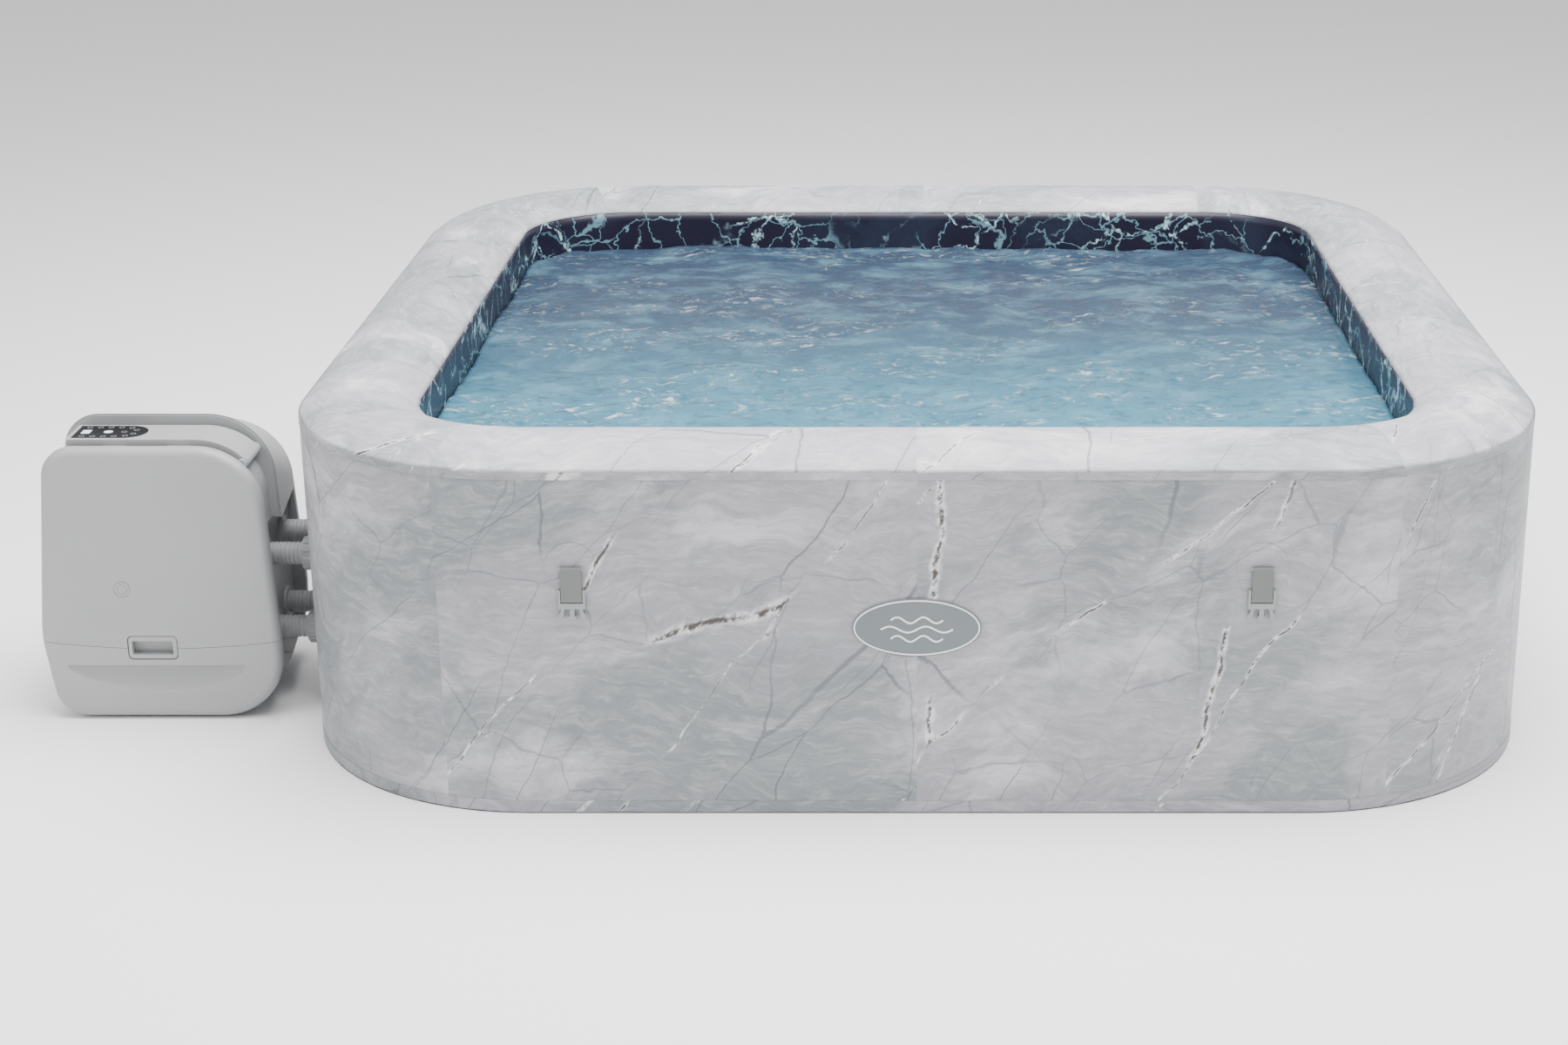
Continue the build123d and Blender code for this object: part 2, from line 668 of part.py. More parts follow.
def back_cover():
    inner = loft([upright(waist_rear) * back_outline(0, shell_wall),
                  upright(pump_rear - shell_wall) * back_outline(0.985, shell_wall)])
    inner = fillet(inner.faces().sort_by(Axis.Y)[-1].edges(), rear_round - shell_wall)
    gland_hole = along_y(gland_diameter, pump_rear - 20, pump_rear + 20, pump_x + gland_x, gland_height)
    return back_body() - inner - port_bay_room(shell_wall + 0.3) - gland_hole


# ---- Arm ---------------------------------------------------------------------------------------
corner_centre = (89.5, 420.0)


def arm_front():
    return cap_rear + arm_front_gap


def arm_axis():
    out = arm_top - corner_centre[1] - arm_thickness / 2
    angle = radians(arm_end_angle)
    return pump_x + corner_centre[0] + out * sin(angle), corner_centre[1] + out * cos(angle)


def control_arm():
    """Long flat arm that follows the pump's top and its corner, and ends in a boss round the hinge pin."""
    cx, cz = corner_centre
    outer, inner = arm_top - cz, arm_top - arm_thickness - cz
    a = radians(arm_end_angle)
    half_a = a / 2
    edges = [
        Line((arm_left, arm_top), (cx, arm_top)),
        ThreePointArc((cx, arm_top), (cx + outer * sin(half_a), cz + outer * cos(half_a)),
                      (cx + outer * sin(a), cz + outer * cos(a))),
        Line((cx + outer * sin(a), cz + outer * cos(a)), (cx + inner * sin(a), cz + inner * cos(a))),
        ThreePointArc((cx + inner * sin(a), cz + inner * cos(a)),
                      (cx + inner * sin(half_a), cz + inner * cos(half_a)), (cx, arm_top - arm_thickness)),
        Line((cx, arm_top - arm_thickness), (arm_left + 8, arm_top - arm_thickness)),
        Line((arm_left + 8, arm_top - arm_thickness), (arm_left, arm_top)),
    ]
    arm = slab(make_face(edges), arm_front(), arm_front() + arm_width)
    top_edges = arm.edges().filter_by(lambda e: e.center().Z > arm_top - 1 and abs(e.tangent_at(0.5).X) > 0.9)
    arm = fillet(top_edges, 2)
    x, z = arm_axis()
    arm = arm + along_y(arm_thickness, arm_front(), arm_front() + arm_width, x, z)
    arm = arm - along_y(arm_pin_diameter + 2 * running_gap, arm_front(), arm_front() + arm_width, x, z)
    return arm - panel_space()


def panel_shape():
    """Touch panel in plan: square at its outer end, round at the other."""
    width = arm_width - 2 * panel_margin
    start = arm_left + panel_margin
    straight = panel_length - width / 2
    shape = Pos(start + straight / 2, 0) * Rectangle(straight, width)
    return shape + Pos(start + straight, 0) * Circle(width / 2)


def panel_space():
    plane = Plane((pump_x, arm_front() + arm_width / 2, arm_top - panel_thickness))
    return extrude(plane * panel_shape(), panel_thickness)


def button_piece():
    x = pump_x + button_x
    cap = along_y(button_diameter, pump_front - 0.6, pump_front + button_length, x, button_height)
    cap = fillet(cap.edges().filter_by(GeomType.CIRCLE).group_by(Axis.Y)[0], 0.5)
    collar_from = pump_front + shell_wall + 0.4
    return cap + along_y(button_collar_diameter, collar_from, collar_from + 2, x, button_height)


def hatch_latch():
    """Paddle latch: a rounded frame round a finger cup, which tips out about its top edge."""
    face = Pos(latch_x, latch_centre_height) * RectangleRounded(latch_width, latch_height, latch_corner)
    block = slab(face, pump_front - 1, pump_front + latch_depth)
    inner_height = latch_height - latch_top_border - latch_bottom_border
    cup = Pos(latch_x, latch_centre_height + (latch_bottom_border - latch_top_border) / 2) * RectangleRounded(
        latch_width - 2 * latch_side_border, inner_height, 3)
    heel = block.edges().filter_by(Axis.X).group_by(Axis.Y)[-1].sort_by(Axis.Z)[0]
    block = chamfer(heel, latch_heel)
    rim = block.edges().group_by(Axis.Y)[0]
    block = fillet(rim, latch_roll)
    return block - slab(cup, pump_front - 5, pump_front + latch_depth - 2)


# ---- Pump base and insides ---------------------------------------------------------------------
def base_tray():
    """Bridge under the recessed waist, between the front cap and the back cover."""
    low, high = foot_height, foot_height + waist_inset
    middle = Pos(pump_x + 8, (cap_rear + waist_rear) / 2, (low + high) / 2)
    tray = middle * Box(250, waist_depth - 7, high - low - 1)
    hollow = Pos(pump_x + 8, (cap_rear + waist_rear) / 2, (low + high) / 2 + 6) * Box(
        244, waist_depth - 13, high - low)
    return tray - hollow


def feet():
    """Four rubber feet, cut to the underside they carry."""
    places = [(-90, cap_rear + 20), (110, cap_rear + 20), (-90, waist_rear + 60), (110, waist_rear + 60)]
    blocks = [Pos(pump_x + x, y, foot_block / 2) * Cylinder(foot_diameter / 2, foot_block) for x, y in places]
    tray_room = Pos(pump_x, cap_rear + 40, foot_height + 50) * Box(500, 160, 100)
    return [blocks[0] - tray_room, blocks[1] - tray_room, blocks[2] - back_body(), blocks[3] - back_body()]


def filter_parts():
    """A canister with a screw lid stands behind the hatch, round a pleated cartridge."""
    x, y = pump_x - 15, cap_rear + 52.0
    low, high = foot_height + waist_inset + shell_wall, filter_top
    room = Cylinder(filter_radius - shell_wall, high - low)
    can = Pos(x, y, (low + high) / 2) * (Cylinder(filter_radius, high - low) - Pos(0, 0, shell_wall) * room)
    write("filter_canister", can)
    lid = Pos(0, 0, 9) * Cylinder(filter_radius, 18)
    lid = fillet(lid.edges().group_by(Axis.Z)[-1], 3) + Pos(0, 0, 24) * Box(56, 10, 14)
    write("filter_lid", Pos(x, y, high + 0.2) * lid)
    pleats = make_face(Polyline(*[
        (r * cos(radians(6 * n)), r * sin(radians(6 * n)))
        for n, r in enumerate([filter_radius - 6, filter_radius - 13] * 30)], close=True))
    write("filter_cartridge", Pos(x, y, low + shell_wall) * extrude(pleats - Circle(14), high - low - 12))


motor_y = waist_rear + 95.0


def drive_parts():
    """Massage pump, heater, blower and electronics inside the back cover."""
    x, z = pump_x - 40, 110.0
    volute = along_x(130, x + 60, x + 110, motor_y, z) - along_x(108, x + 66, x + 104, motor_y, z)
    volute = volute - along_x(22, x + 50, x + 70, motor_y, z)
    motor = along_x(104, x - 90, x + 58, motor_y, z) - along_x(12.4, x + 20, x + 70, motor_y, z)
    write("massage_pump_volute", volute)
    write("massage_pump_motor", motor)
    wheel = along_x(96, x + 74, x + 78, motor_y, z) + along_x(12, x + 22, x + 96, motor_y, z)
    for n in range(6):
        blade = Pos(x + 87, motor_y, z) * Rot(60 * n, 0, 0) * Pos(0, 0, 27) * Rot(0, 0, 0) * Box(18, 3, 40)
        wheel = wheel + blade
    write("massage_pump_impeller", wheel)
    heater_y = waist_rear + 60
    tube = along_x(56, pump_x - 140, pump_x + 110, heater_y, 235) - along_x(
        50, pump_x - 136, pump_x + 106, heater_y, 235)
    write("heater_tube", tube)
    fan_x, fan_z = pump_x - 70, 380.0
    case = along_y(150, waist_rear + 40, waist_rear + 100, fan_x, fan_z) - along_y(
        138, waist_rear + 44, waist_rear + 96, fan_x, fan_z)
    case = case - along_y(60, waist_rear + 90, waist_rear + 110, fan_x, fan_z)
    write("blower_case", case)
    fan = along_y(20, waist_rear + 48, waist_rear + 92, fan_x, fan_z) + along_y(
        120, waist_rear + 48, waist_rear + 51, fan_x, fan_z)
    for n in range(10):
        blade = Pos(fan_x, waist_rear + 70, fan_z) * Rot(0, 36 * n, 0) * Pos(0, 0, 34) * Box(3, 40, 50)
        fan = fan + blade
    write("blower_fan", fan)
    box = Pos(pump_x + 85, waist_rear + 60, 400) * Box(130, 70, 120)
    write("control_box", fillet(box.edges().filter_by(Axis.Y), 8))


def small_parts():
    axis_y, axis_z = hatch_axis()
    x, z = arm_axis()
    write("arm_hinge_pin", along_y(arm_pin_diameter, cap_rear, waist_rear, x, z))
    pins = [along_x(hatch_pin_diameter, pump_x + place - 9, pump_x + place + hinge_length + 9, axis_y, axis_z)
            for place in hinge_places]
    write("hatch_hinge_pins", pins)
    x = pump_x + gland_x
    gland = along_y(gland_diameter, pump_rear - 8, pump_rear + 12, x, gland_height)
    gland = gland - along_y(8, pump_rear - 20, pump_rear + 20, x, gland_height)
    write("cable_gland", gland)


cap = front_cap()
write("outer_wall", outer_wall())
write("inner_wall", inner_wall())
write("top_panel", top_panel())
write("base_sheet", base_sheet())
write("floor_liner", floor_liner())
write("top_seam_band", seam_band(seam_height - top_band_height, seam_height))
write("bottom_seam_band", seam_band(bottom_band_low, bottom_band_height))
write("wall_beams", wall_beams())
write("air_jet_channel", air_jet_channel())
write("jet_nozzles", jet_nozzles())
write("badge_plate", badge_plate())
buckle_parts()
write("valve_bodies", [valve_body(drain_place()), valve_body(air_place())])
write("drain_lid", valve_lid(drain_place()))
write("air_valve_lid", valve_lid(air_place()))
coupling_parts()
write("pump_chassis", chassis())
write("pump_port_box", port_box())
write("pump_back_cover", back_cover())
write("pump_lower_front", lower_front(cap))
write("front_hatch", front_hatch(cap))
write("hatch_latch", hatch_latch())
write("front_button", button_piece())
write("control_arm", control_arm())
write("touch_panel", panel_space())
write("pump_base_tray", base_tray())
write("pump_feet", feet())
filter_parts()
drive_parts()
small_parts()
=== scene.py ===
"""Looks of a square inflatable hot tub with an external pump unit.

The tub's skins are printed laminate, the basin is dark with pale veins, and the pump unit is a
satin grey moulding. Every length is in metres.
"""
import logging
import math
from dataclasses import dataclass
from enum import Enum
from typing import Any, Callable, Iterable, Sequence

import bmesh
import bpy
from mathutils import Matrix, Vector, noise


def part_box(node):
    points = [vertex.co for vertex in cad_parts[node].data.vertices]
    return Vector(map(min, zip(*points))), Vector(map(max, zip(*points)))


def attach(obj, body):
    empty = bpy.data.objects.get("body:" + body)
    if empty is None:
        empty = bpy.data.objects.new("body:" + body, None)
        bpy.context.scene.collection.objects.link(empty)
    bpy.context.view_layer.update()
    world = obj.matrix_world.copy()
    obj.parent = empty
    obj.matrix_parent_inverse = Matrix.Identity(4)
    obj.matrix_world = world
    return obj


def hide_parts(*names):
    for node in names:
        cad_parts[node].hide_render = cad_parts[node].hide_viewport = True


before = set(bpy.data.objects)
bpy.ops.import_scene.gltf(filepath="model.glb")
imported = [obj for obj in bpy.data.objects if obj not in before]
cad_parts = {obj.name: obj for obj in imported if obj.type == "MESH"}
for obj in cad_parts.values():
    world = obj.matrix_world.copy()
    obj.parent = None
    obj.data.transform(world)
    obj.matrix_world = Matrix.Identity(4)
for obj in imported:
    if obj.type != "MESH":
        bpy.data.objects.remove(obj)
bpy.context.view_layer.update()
log = logging.getLogger("hot_tub")
TUB = "tub"
HALF_WIDTH = 1.130  # from the tub's middle to its outer wall


# ---- Shader maths ------------------------------------------------------------------------------
class Val:
    """A number that varies over a surface, written with ordinary operators."""

    def __init__(self, tree: "Tree", socket: bpy.types.NodeSocket) -> None:
        """Wraps a socket.

        Args:
            tree: The tree that holds the socket.
            socket: The output that gives the number.
        """
        self.tree, self.socket = tree, socket

    def _math(self, operation: str, *values: "Val | float") -> "Val":
        """Adds a Math node.

        Args:
            operation: The Math node's operation.
            values: Its inputs, in order.

        Returns:
            The result.
        """
        made = self.tree.node("ShaderNodeMath", {"operation": operation}, dict(enumerate(values)))
        return Val(self.tree, made.outputs[0])

    def __add__(self, other: "Val | float") -> "Val":
        """Sum."""
        return self._math("ADD", self, other)

    __radd__ = __add__

    def __sub__(self, other: "Val | float") -> "Val":
        """Difference."""
        return self._math("SUBTRACT", self, other)

    def __rsub__(self, other: float) -> "Val":
        """Difference from a plain number."""
        return self._math("SUBTRACT", other, self)

    def __mul__(self, other: "Val | float") -> "Val":
        """Product."""
        return self._math("MULTIPLY", self, other)

    __rmul__ = __mul__

    def __truediv__(self, other: "Val | float") -> "Val":
        """Quotient."""
        return self._math("DIVIDE", self, other)

    def __rtruediv__(self, other: float) -> "Val":
        """Quotient of a plain number by this one."""
        return self._math("DIVIDE", other, self)

    def floor(self) -> "Val":
        """The whole number below."""
        return self._math("FLOOR", self)

    def sine(self) -> "Val":
        """Sine of an angle in radians."""
        return self._math("SINE", self)

    def step(self, low: float, high: float) -> "Val":
        """Smooth change from 0 at low to 1 at high, or from 1 to 0 when low is above high.

        Args:
            low: Where the result is 0.
            high: Where the result is 1.

        Returns:
            The smoothed step.
        """
        start, end, down = (low, high, False) if low < high else (high, low, True)
        made = self.tree.node("ShaderNodeMapRange", {"interpolation_type": "SMOOTHSTEP"},
                              {"Value": self, "From Min": start, "From Max": end})
        rise = Val(self.tree, made.outputs["Result"])
        return 1 - rise if down else rise


class Tree:
    """A material's node tree, with one method that makes any node."""

    def __init__(self, material: bpy.types.Material) -> None:
        """Empties the material's tree.

        Args:
            material: The material to fill.
        """
        material.use_nodes = True
        self.nodes, self.links = material.node_tree.nodes, material.node_tree.links
        self.nodes.clear()

    def node(self, kind: str, settings: dict[str, Any] | None = None,
             inputs: dict[int | str, Any] | None = None) -> bpy.types.Node:
        """Adds a node, sets it, then fills its sockets.

        Args:
            kind: The node's type.
            settings: Properties of the node.
            inputs: Socket values, sockets or Vals, by name or place.

        Returns:
            The node.
        """
        made = self.nodes.new(kind)
        for key, value in (settings or {}).items():
            setattr(made, key, value)
        for key, value in (inputs or {}).items():
            if isinstance(value, Val):
                self.links.new(value.socket, made.inputs[key])
            elif isinstance(value, bpy.types.NodeSocket):
                self.links.new(value, made.inputs[key])
            else:
                made.inputs[key].default_value = value
        return made

    def parts(self, vector: bpy.types.NodeSocket) -> tuple[Val, Val, Val]:
        """The three numbers of a vector."""
        outs = self.node("ShaderNodeSeparateXYZ", {}, {0: vector}).outputs
        return Val(self, outs[0]), Val(self, outs[1]), Val(self, outs[2])

    def vector(self, x: Val | float, y: Val | float, z: Val | float) -> bpy.types.NodeSocket:
        """A vector from three numbers."""
        return self.node("ShaderNodeCombineXYZ", {}, {0: x, 1: y, 2: z}).outputs[0]

    def noise(self, at: bpy.types.NodeSocket, scale: float, detail: float = 2.0, rough: float = 0.5,
              distortion: float = 0.0) -> Val:
        """Cloudy noise from 0 to 1.

        Args:
            at: Coordinates.
            scale: Features per metre.
            detail: Octaves.
            rough: Strength of the finer octaves.
            distortion: How far the noise is bent by itself.

        Returns:
            The noise value.
        """
        made = self.node("ShaderNodeTexNoise", {}, {"Vector": at, "Scale": scale, "Detail": detail,
                                                    "Roughness": rough, "Distortion": distortion})
        return Val(self, made.outputs[0])

    def cell_edge(self, at: bpy.types.NodeSocket, scale: float) -> Val:
        """Distance to the nearest border between random cells."""
        made = self.node("ShaderNodeTexVoronoi", {"feature": "DISTANCE_TO_EDGE"},
                         {"Vector": at, "Scale": scale})
        return Val(self, made.outputs["Distance"])

    def blend(self, share: Val | float, first: Any, second: Any) -> bpy.types.NodeSocket:
        """Mixes two colours.

        Args:
            share: 0 gives the first colour and 1 the second.
            first: A colour or a socket.
            second: A colour or a socket.

        Returns:
            The mixed colour.
        """
        made = self.node("ShaderNodeMix", {"data_type": "RGBA", "clamp_factor": True},
                         {0: share, 6: rgba(first), 7: rgba(second)})
        return made.outputs[2]

    def bump(self, height: Val, strength: float, distance: float) -> bpy.types.NodeSocket:
        """A normal from a height in units of distance."""
        return self.node("ShaderNodeBump", {}, {"Strength": strength, "Distance": distance,
                                                "Height": height}).outputs[0]

    def surface(self, inputs: dict[int | str, Any]) -> None:
        """Ends the tree in a Principled shader with these inputs."""
        shader = self.node("ShaderNodeBsdfPrincipled", {}, inputs)
        self.node("ShaderNodeOutputMaterial", {}, {"Surface": shader.outputs[0]})


def rgba(colour: Any) -> Any:
    """A colour with its alpha, or a socket as it is."""
    return (*colour, 1.0) if isinstance(colour, tuple) and len(colour) == 3 else colour


# ---- Finishes ----------------------------------------------------------------------------------
class Mapping(Enum):
    """Where a printed pattern takes its place from."""

    ROLL = "the piece's own unrolled coordinates"
    PLACE = "the point's place in the tub"


@dataclass(frozen=True)
class Finish:
    """A named surface finish that makes its material once."""

    name: str

    def material(self) -> bpy.types.Material:
        """The finish's material, made at the first call."""
        title = f"finish_{self.name}"
        made = bpy.data.materials.get(title)
        if made is None:
            made = bpy.data.materials.new(title)
            self.paint(Tree(made))
        return made

    def paint(self, tree: Tree) -> None:
        """Fills the material's tree."""
        raise NotImplementedError

    def printed(self, tree: Tree, mapping: Mapping) -> tuple[Val, Val]:
        """Distance along a wall and up it.

        Args:
            tree: The tree to add to.
            mapping: Where the pattern takes its place from.

        Returns:
            The two distances in metres.
        """
        if mapping is Mapping.ROLL:
            along, up, _ = tree.parts(tree.node("ShaderNodeUVMap", {"uv_map": "print"}).outputs[0])
            return along, up
        x, y, z = tree.parts(tree.node("ShaderNodeTexCoord").outputs["Object"])
        return x - y - HALF_WIDTH, z


@dataclass(frozen=True)
class MarblePrint(Finish):
    """Pale printed marble: clouds, streaks, thin diagonal veins and a few broken dark cracks."""

    # Scale on every colour of the print; the rim's value above 1 is painted light.
    lift: float = 1.0
    mapping: Mapping = Mapping.ROLL
    panel: float = 0.83
    jump: float = 0.1
    seed: float = 0.0

    def paint(self, tree: Tree) -> None:
        """Builds the print over satin laminate."""
        along, up = self.printed(tree, self.mapping)
        sheet = (along / self.panel).floor() * self.jump + self.seed
        bend_a = tree.noise(tree.vector(along, up, sheet), 2.1, 4, 0.55) - 0.5
        bend_b = tree.noise(tree.vector(along, up, sheet + 9.0), 2.6, 4, 0.55) - 0.5
        fine = tree.noise(tree.vector(along, up, sheet + 4.0), 19, 4, 0.65) - 0.5
        a, b = along + bend_a * 0.30 + fine * 0.018, up + bend_b * 0.26 + fine * 0.018
        straight_a = along + bend_a * 0.13 + fine * 0.020
        straight_b = up + bend_b * 0.13 + fine * 0.020
        lean = a - b * 0.6
        clouds = tree.noise(tree.vector(lean, b * 1.1, sheet), 2.5, 5, 0.52).step(0.47, 0.56)
        shade = tree.noise(tree.vector(lean, b, sheet + 24.0), 1.5, 3, 0.5).step(0.35, 0.7)
        bright = tree.noise(tree.vector(lean, b * 2.0, sheet + 3.0), 3.2, 6, 0.62).step(0.50, 0.68)
        streak = tree.noise(tree.vector(a, b * 5.0, sheet + 6.0), 6.5, 8, 0.70) - 0.5
        wisp = tree.noise(tree.vector(a * 1.2, b * 7.0, sheet + 8.0), 11, 6, 0.68).step(0.56, 0.70)
        mottle = tree.noise(tree.vector(a, b * 2.2, sheet + 2.0), 24, 6, 0.72) - 0.5
        thread = tree.noise(tree.vector(a - b * 0.5, b * 9.0, sheet + 7.0), 16, 7, 0.72) - 0.5
        grain = tree.noise(tree.vector(along, up, sheet), 130, 2) - 0.5
        pale, slate = self.tone(.335, .330, .362), self.tone(.222, .244, .252)
        white, deep = self.tone(.66, .65, .70), self.tone(.10, .11, .122)
        colour = tree.blend(clouds * 0.92, pale, slate)
        colour = tree.blend(shade * 0.22, colour, deep)
        colour = tree.blend(bright * (1 - clouds * 0.65) * 0.50 + streak * 0.55, colour, white)
        colour = tree.blend(wisp * bright * 0.55, colour, white)
        colour = tree.blend(grain * 0.14 - streak * 0.9, colour, deep)
        colour = tree.blend(mottle * 0.9 + thread * 0.9, colour, white)
        colour = tree.blend(mottle * -0.9 - thread * 0.8, colour, deep)
        colour = self.veins(tree, colour, straight_a, straight_b, sheet)
        rough = 0.42 + streak * 0.15
        height = streak * 0.25 + grain * 0.25
        tree.surface({"Base Color": colour, "Roughness": rough, "Specular IOR Level": 0.35,
                      "Normal": tree.bump(height, 0.12, 0.002)})

    def tone(self, red: float, green: float, blue: float) -> tuple[float, float, float]:
        """A colour scaled by the finish's lift."""
        return (min(red * self.lift, 0.9), min(green * self.lift, 0.9), min(blue * self.lift, 0.9))

    def veins(self, tree: Tree, colour: Any, a: Val, b: Val, sheet: Val) -> Any:
        """Lays thin veins and broken cracks over the clouds.

        Args:
            tree: The tree to add to.
            colour: The colour so far.
            a: Bent distance along.
            b: Bent distance up.
            sheet: Offset of this panel's pattern.

        Returns:
            The colour with veins.
        """
        run, across = a * 0.58 + b * 0.81, b * 0.58 - a * 0.81
        gate = tree.noise(tree.vector(run, across, sheet + 12.0), 2.2, 2).step(0.42, 0.54)
        long = tree.cell_edge(tree.vector(run * 0.34, across * 1.35, sheet), 3.0)
        long = long.step(0.0052, 0.0012)
        colour = tree.blend(long * gate * 0.66, colour, self.tone(.085, .10, .115))
        gate = tree.noise(tree.vector(run, across, sheet + 20.0), 3.0, 2).step(0.44, 0.58)
        hair = tree.cell_edge(tree.vector(run * 0.7, across * 1.4, sheet + 5.0), 5.6)
        hair = hair.step(0.012, 0.003)
        colour = tree.blend(hair * gate * 0.45, colour, self.tone(.10, .115, .13))
        gate = tree.noise(tree.vector(run * 0.9, across * 1.4, sheet + 31.0), 2.6, 2)
        gate = gate.step(0.49, 0.53)
        line = tree.cell_edge(tree.vector(run * 0.13, across * 1.15, sheet + 17.0), 2.3)
        speck = tree.noise(tree.vector(run * 0.6, across, sheet), 75, 3, 0.7)
        colour = tree.blend(line.step(0.0062, 0.0016) * gate * speck.step(0.35, 0.6) * 0.75, colour,
                            self.tone(.78, .77, .78))
        core = line.step(0.0025, 0.0007) * gate * speck.step(0.62, 0.44)
        return tree.blend(core * 0.95, colour, (0.05, 0.038, 0.03))


@dataclass(frozen=True)
class BasinPrint(Finish):
    """Dark laminate with pale blue veins."""

    mapping: Mapping = Mapping.ROLL

    def paint(self, tree: Tree) -> None:
        """Builds the print over glossy laminate."""
        along, up = self.printed(tree, self.mapping)
        bend = tree.noise(tree.vector(along, up, 2.0), 5, 5, 0.62) - 0.5
        other = tree.noise(tree.vector(along, up, 7.0), 5, 5, 0.62) - 0.5
        a, b = along + bend * 0.26, up + other * 0.22
        cloud = tree.noise(tree.vector(a, b, 1.0), 5.0, 6, 0.6)
        colour = tree.blend(cloud.step(0.45, 0.75) * 0.8, (0.010, 0.008, 0.022),
                            (0.016, 0.024, 0.048))
        gate = tree.noise(tree.vector(a, b, 11.0), 3.4, 2).step(0.36, 0.50)
        vein = tree.cell_edge(tree.vector(a, b, 0.0), 6.4).step(0.030, 0.006) * gate
        speck = tree.noise(tree.vector(along, up, 5.0), 60, 4, 0.7).step(0.40, 0.62)
        colour = tree.blend(vein * speck, colour, (0.42, 0.66, 0.72))
        gate = tree.noise(tree.vector(a, b, 15.0), 5.5, 2).step(0.38, 0.52)
        hair = tree.cell_edge(tree.vector(a, b, 3.0), 12.0).step(0.030, 0.006) * gate
        colour = tree.blend(hair * 0.55, colour, (0.22, 0.42, 0.50))
        tree.surface({"Base Color": colour, "Roughness": 0.32 + cloud * 0.1,
                      "Specular IOR Level": 0.4, "Normal": tree.bump(cloud, 0.1, 0.004)})


@dataclass(frozen=True)
class Moulded(Finish):
    """Moulded plastic with a fine grain and slightly uneven sheen."""

    colour: tuple[float, float, float] = (0.5, 0.5, 0.5)
    rough: float = 0.42
    grain: float = 900.0
    depth: float = 0.10
    shine: float = 0.5

    def paint(self, tree: Tree) -> None:
        """Builds the moulding."""
        at = tree.node("ShaderNodeTexCoord").outputs["Object"]
        cloud = tree.noise(at, 6.0, 3)
        pits = tree.noise(at, self.grain, 2, 0.6)
        dull = (self.colour[0] * 0.90, self.colour[1] * 0.90, self.colour[2] * 0.91)
        colour = tree.blend(cloud.step(0.3, 0.7) * 0.35 + pits * 0.12, self.colour, dull)
        tree.surface({"Base Color": colour, "Roughness": self.rough + cloud * 0.08,
                      "Specular IOR Level": self.shine,
                      "Normal": tree.bump(pits, self.depth, 0.0006)})


@dataclass(frozen=True)
class Webbing(Finish):
    """Woven strap: ribs across and warp threads along."""

    colour: tuple[float, float, float] = (0.175, 0.180, 0.178)

    def paint(self, tree: Tree) -> None:
        """Builds the weave."""
        at = tree.node("ShaderNodeTexCoord").outputs["Object"]
        x, y, z = tree.parts(at)
        warp, weft = ((x + y) * 3600.0).sine(), (z * 2600.0).sine()
        weave = warp * weft
        fuzz = tree.noise(at, 700, 3)
        colour = tree.blend(weave.step(-1.0, 1.0) * 0.55 + fuzz * 0.2, self.colour,
                            (self.colour[0] * 0.72, self.colour[1] * 0.72, self.colour[2] * 0.72))
        tree.surface({"Base Color": colour, "Roughness": 0.82,
                      "Normal": tree.bump(weave, 0.4, 0.0004), "Sheen Weight": 0.2})


@dataclass(frozen=True)
class Metal(Finish):
    """Turned or cast metal with fine marks."""

    colour: tuple[float, float, float] = (0.55, 0.55, 0.55)
    rough: float = 0.3

    def paint(self, tree: Tree) -> None:
        """Builds the metal."""
        at = tree.node("ShaderNodeTexCoord").outputs["Object"]
        x, y, z = tree.parts(at)
        marks = tree.noise(tree.vector(x * 0.1, y, z), 900, 4, 0.7)
        colour = tree.blend(marks * 0.4, self.colour, (self.colour[0] * 0.7,) * 3)
        tree.surface({"Base Color": colour, "Metallic": 1.0, "Roughness": self.rough + marks * 0.2,
                      "Normal": tree.bump(marks, 0.1, 0.0003)})


@dataclass(frozen=True)
class Water(Finish):
    """Stirred bath water with foam, and painted shade darkening it towards the back."""

    def paint(self, tree: Tree) -> None:
        """Builds the water."""
        at = tree.node("ShaderNodeTexCoord").outputs["Object"]
        x, y, _ = tree.parts(at)
        drift = tree.noise(at, 3.0, 4, 0.6) - 0.5
        a, b = x + drift * 0.2, y * 1.5 + drift * 0.2
        # Painted shade: the water darkens from the front of the basin to the back.
        far_shade = (y + drift * 0.35).step(-0.95, 0.45)
        colour = tree.blend(far_shade, (0.060, 0.215, 0.300), (0.030, 0.046, 0.078))
        cloud = tree.noise(tree.vector(a, b, 0.0), 7.0, 6, 0.62)
        colour = tree.blend(cloud.step(0.44, 0.70) * 0.34, colour, (0.15, 0.32, 0.41))
        ripple = tree.noise(tree.vector(a, b, 2.0), 26, 5, 0.62)
        # Painted shade: the colour darkens in the ripple troughs that the bump also lowers.
        colour = tree.blend(ripple.step(0.52, 0.34) * 0.55, colour, (0.022, 0.070, 0.115))
        # Foam patches thin out towards the back along with the painted shade.
        patch = tree.noise(tree.vector(a, b, 8.0), 3.6, 3, 0.55).step(0.45, 0.64) * (1 - far_shade * 0.6)
        foam = tree.noise(tree.vector(a, b, 5.0), 30, 8, 0.72, 0.6).step(0.52, 0.66)
        colour = tree.blend(foam * patch * 0.90, colour, (0.68, 0.77, 0.83))
        fleck = tree.noise(tree.vector(a, b, 14.0), 70, 4, 0.7).step(0.66, 0.74)
        colour = tree.blend(fleck * 0.45, colour, (0.60, 0.68, 0.76))
        height = ripple * 0.7 + foam * patch * 0.4 + cloud * 0.5
        tree.surface({"Base Color": colour, "Roughness": 0.26 + foam * patch * 0.4,
                      "Specular IOR Level": 0.20, "IOR": 1.33,
                      "Normal": tree.bump(height, 0.55, 0.02)})


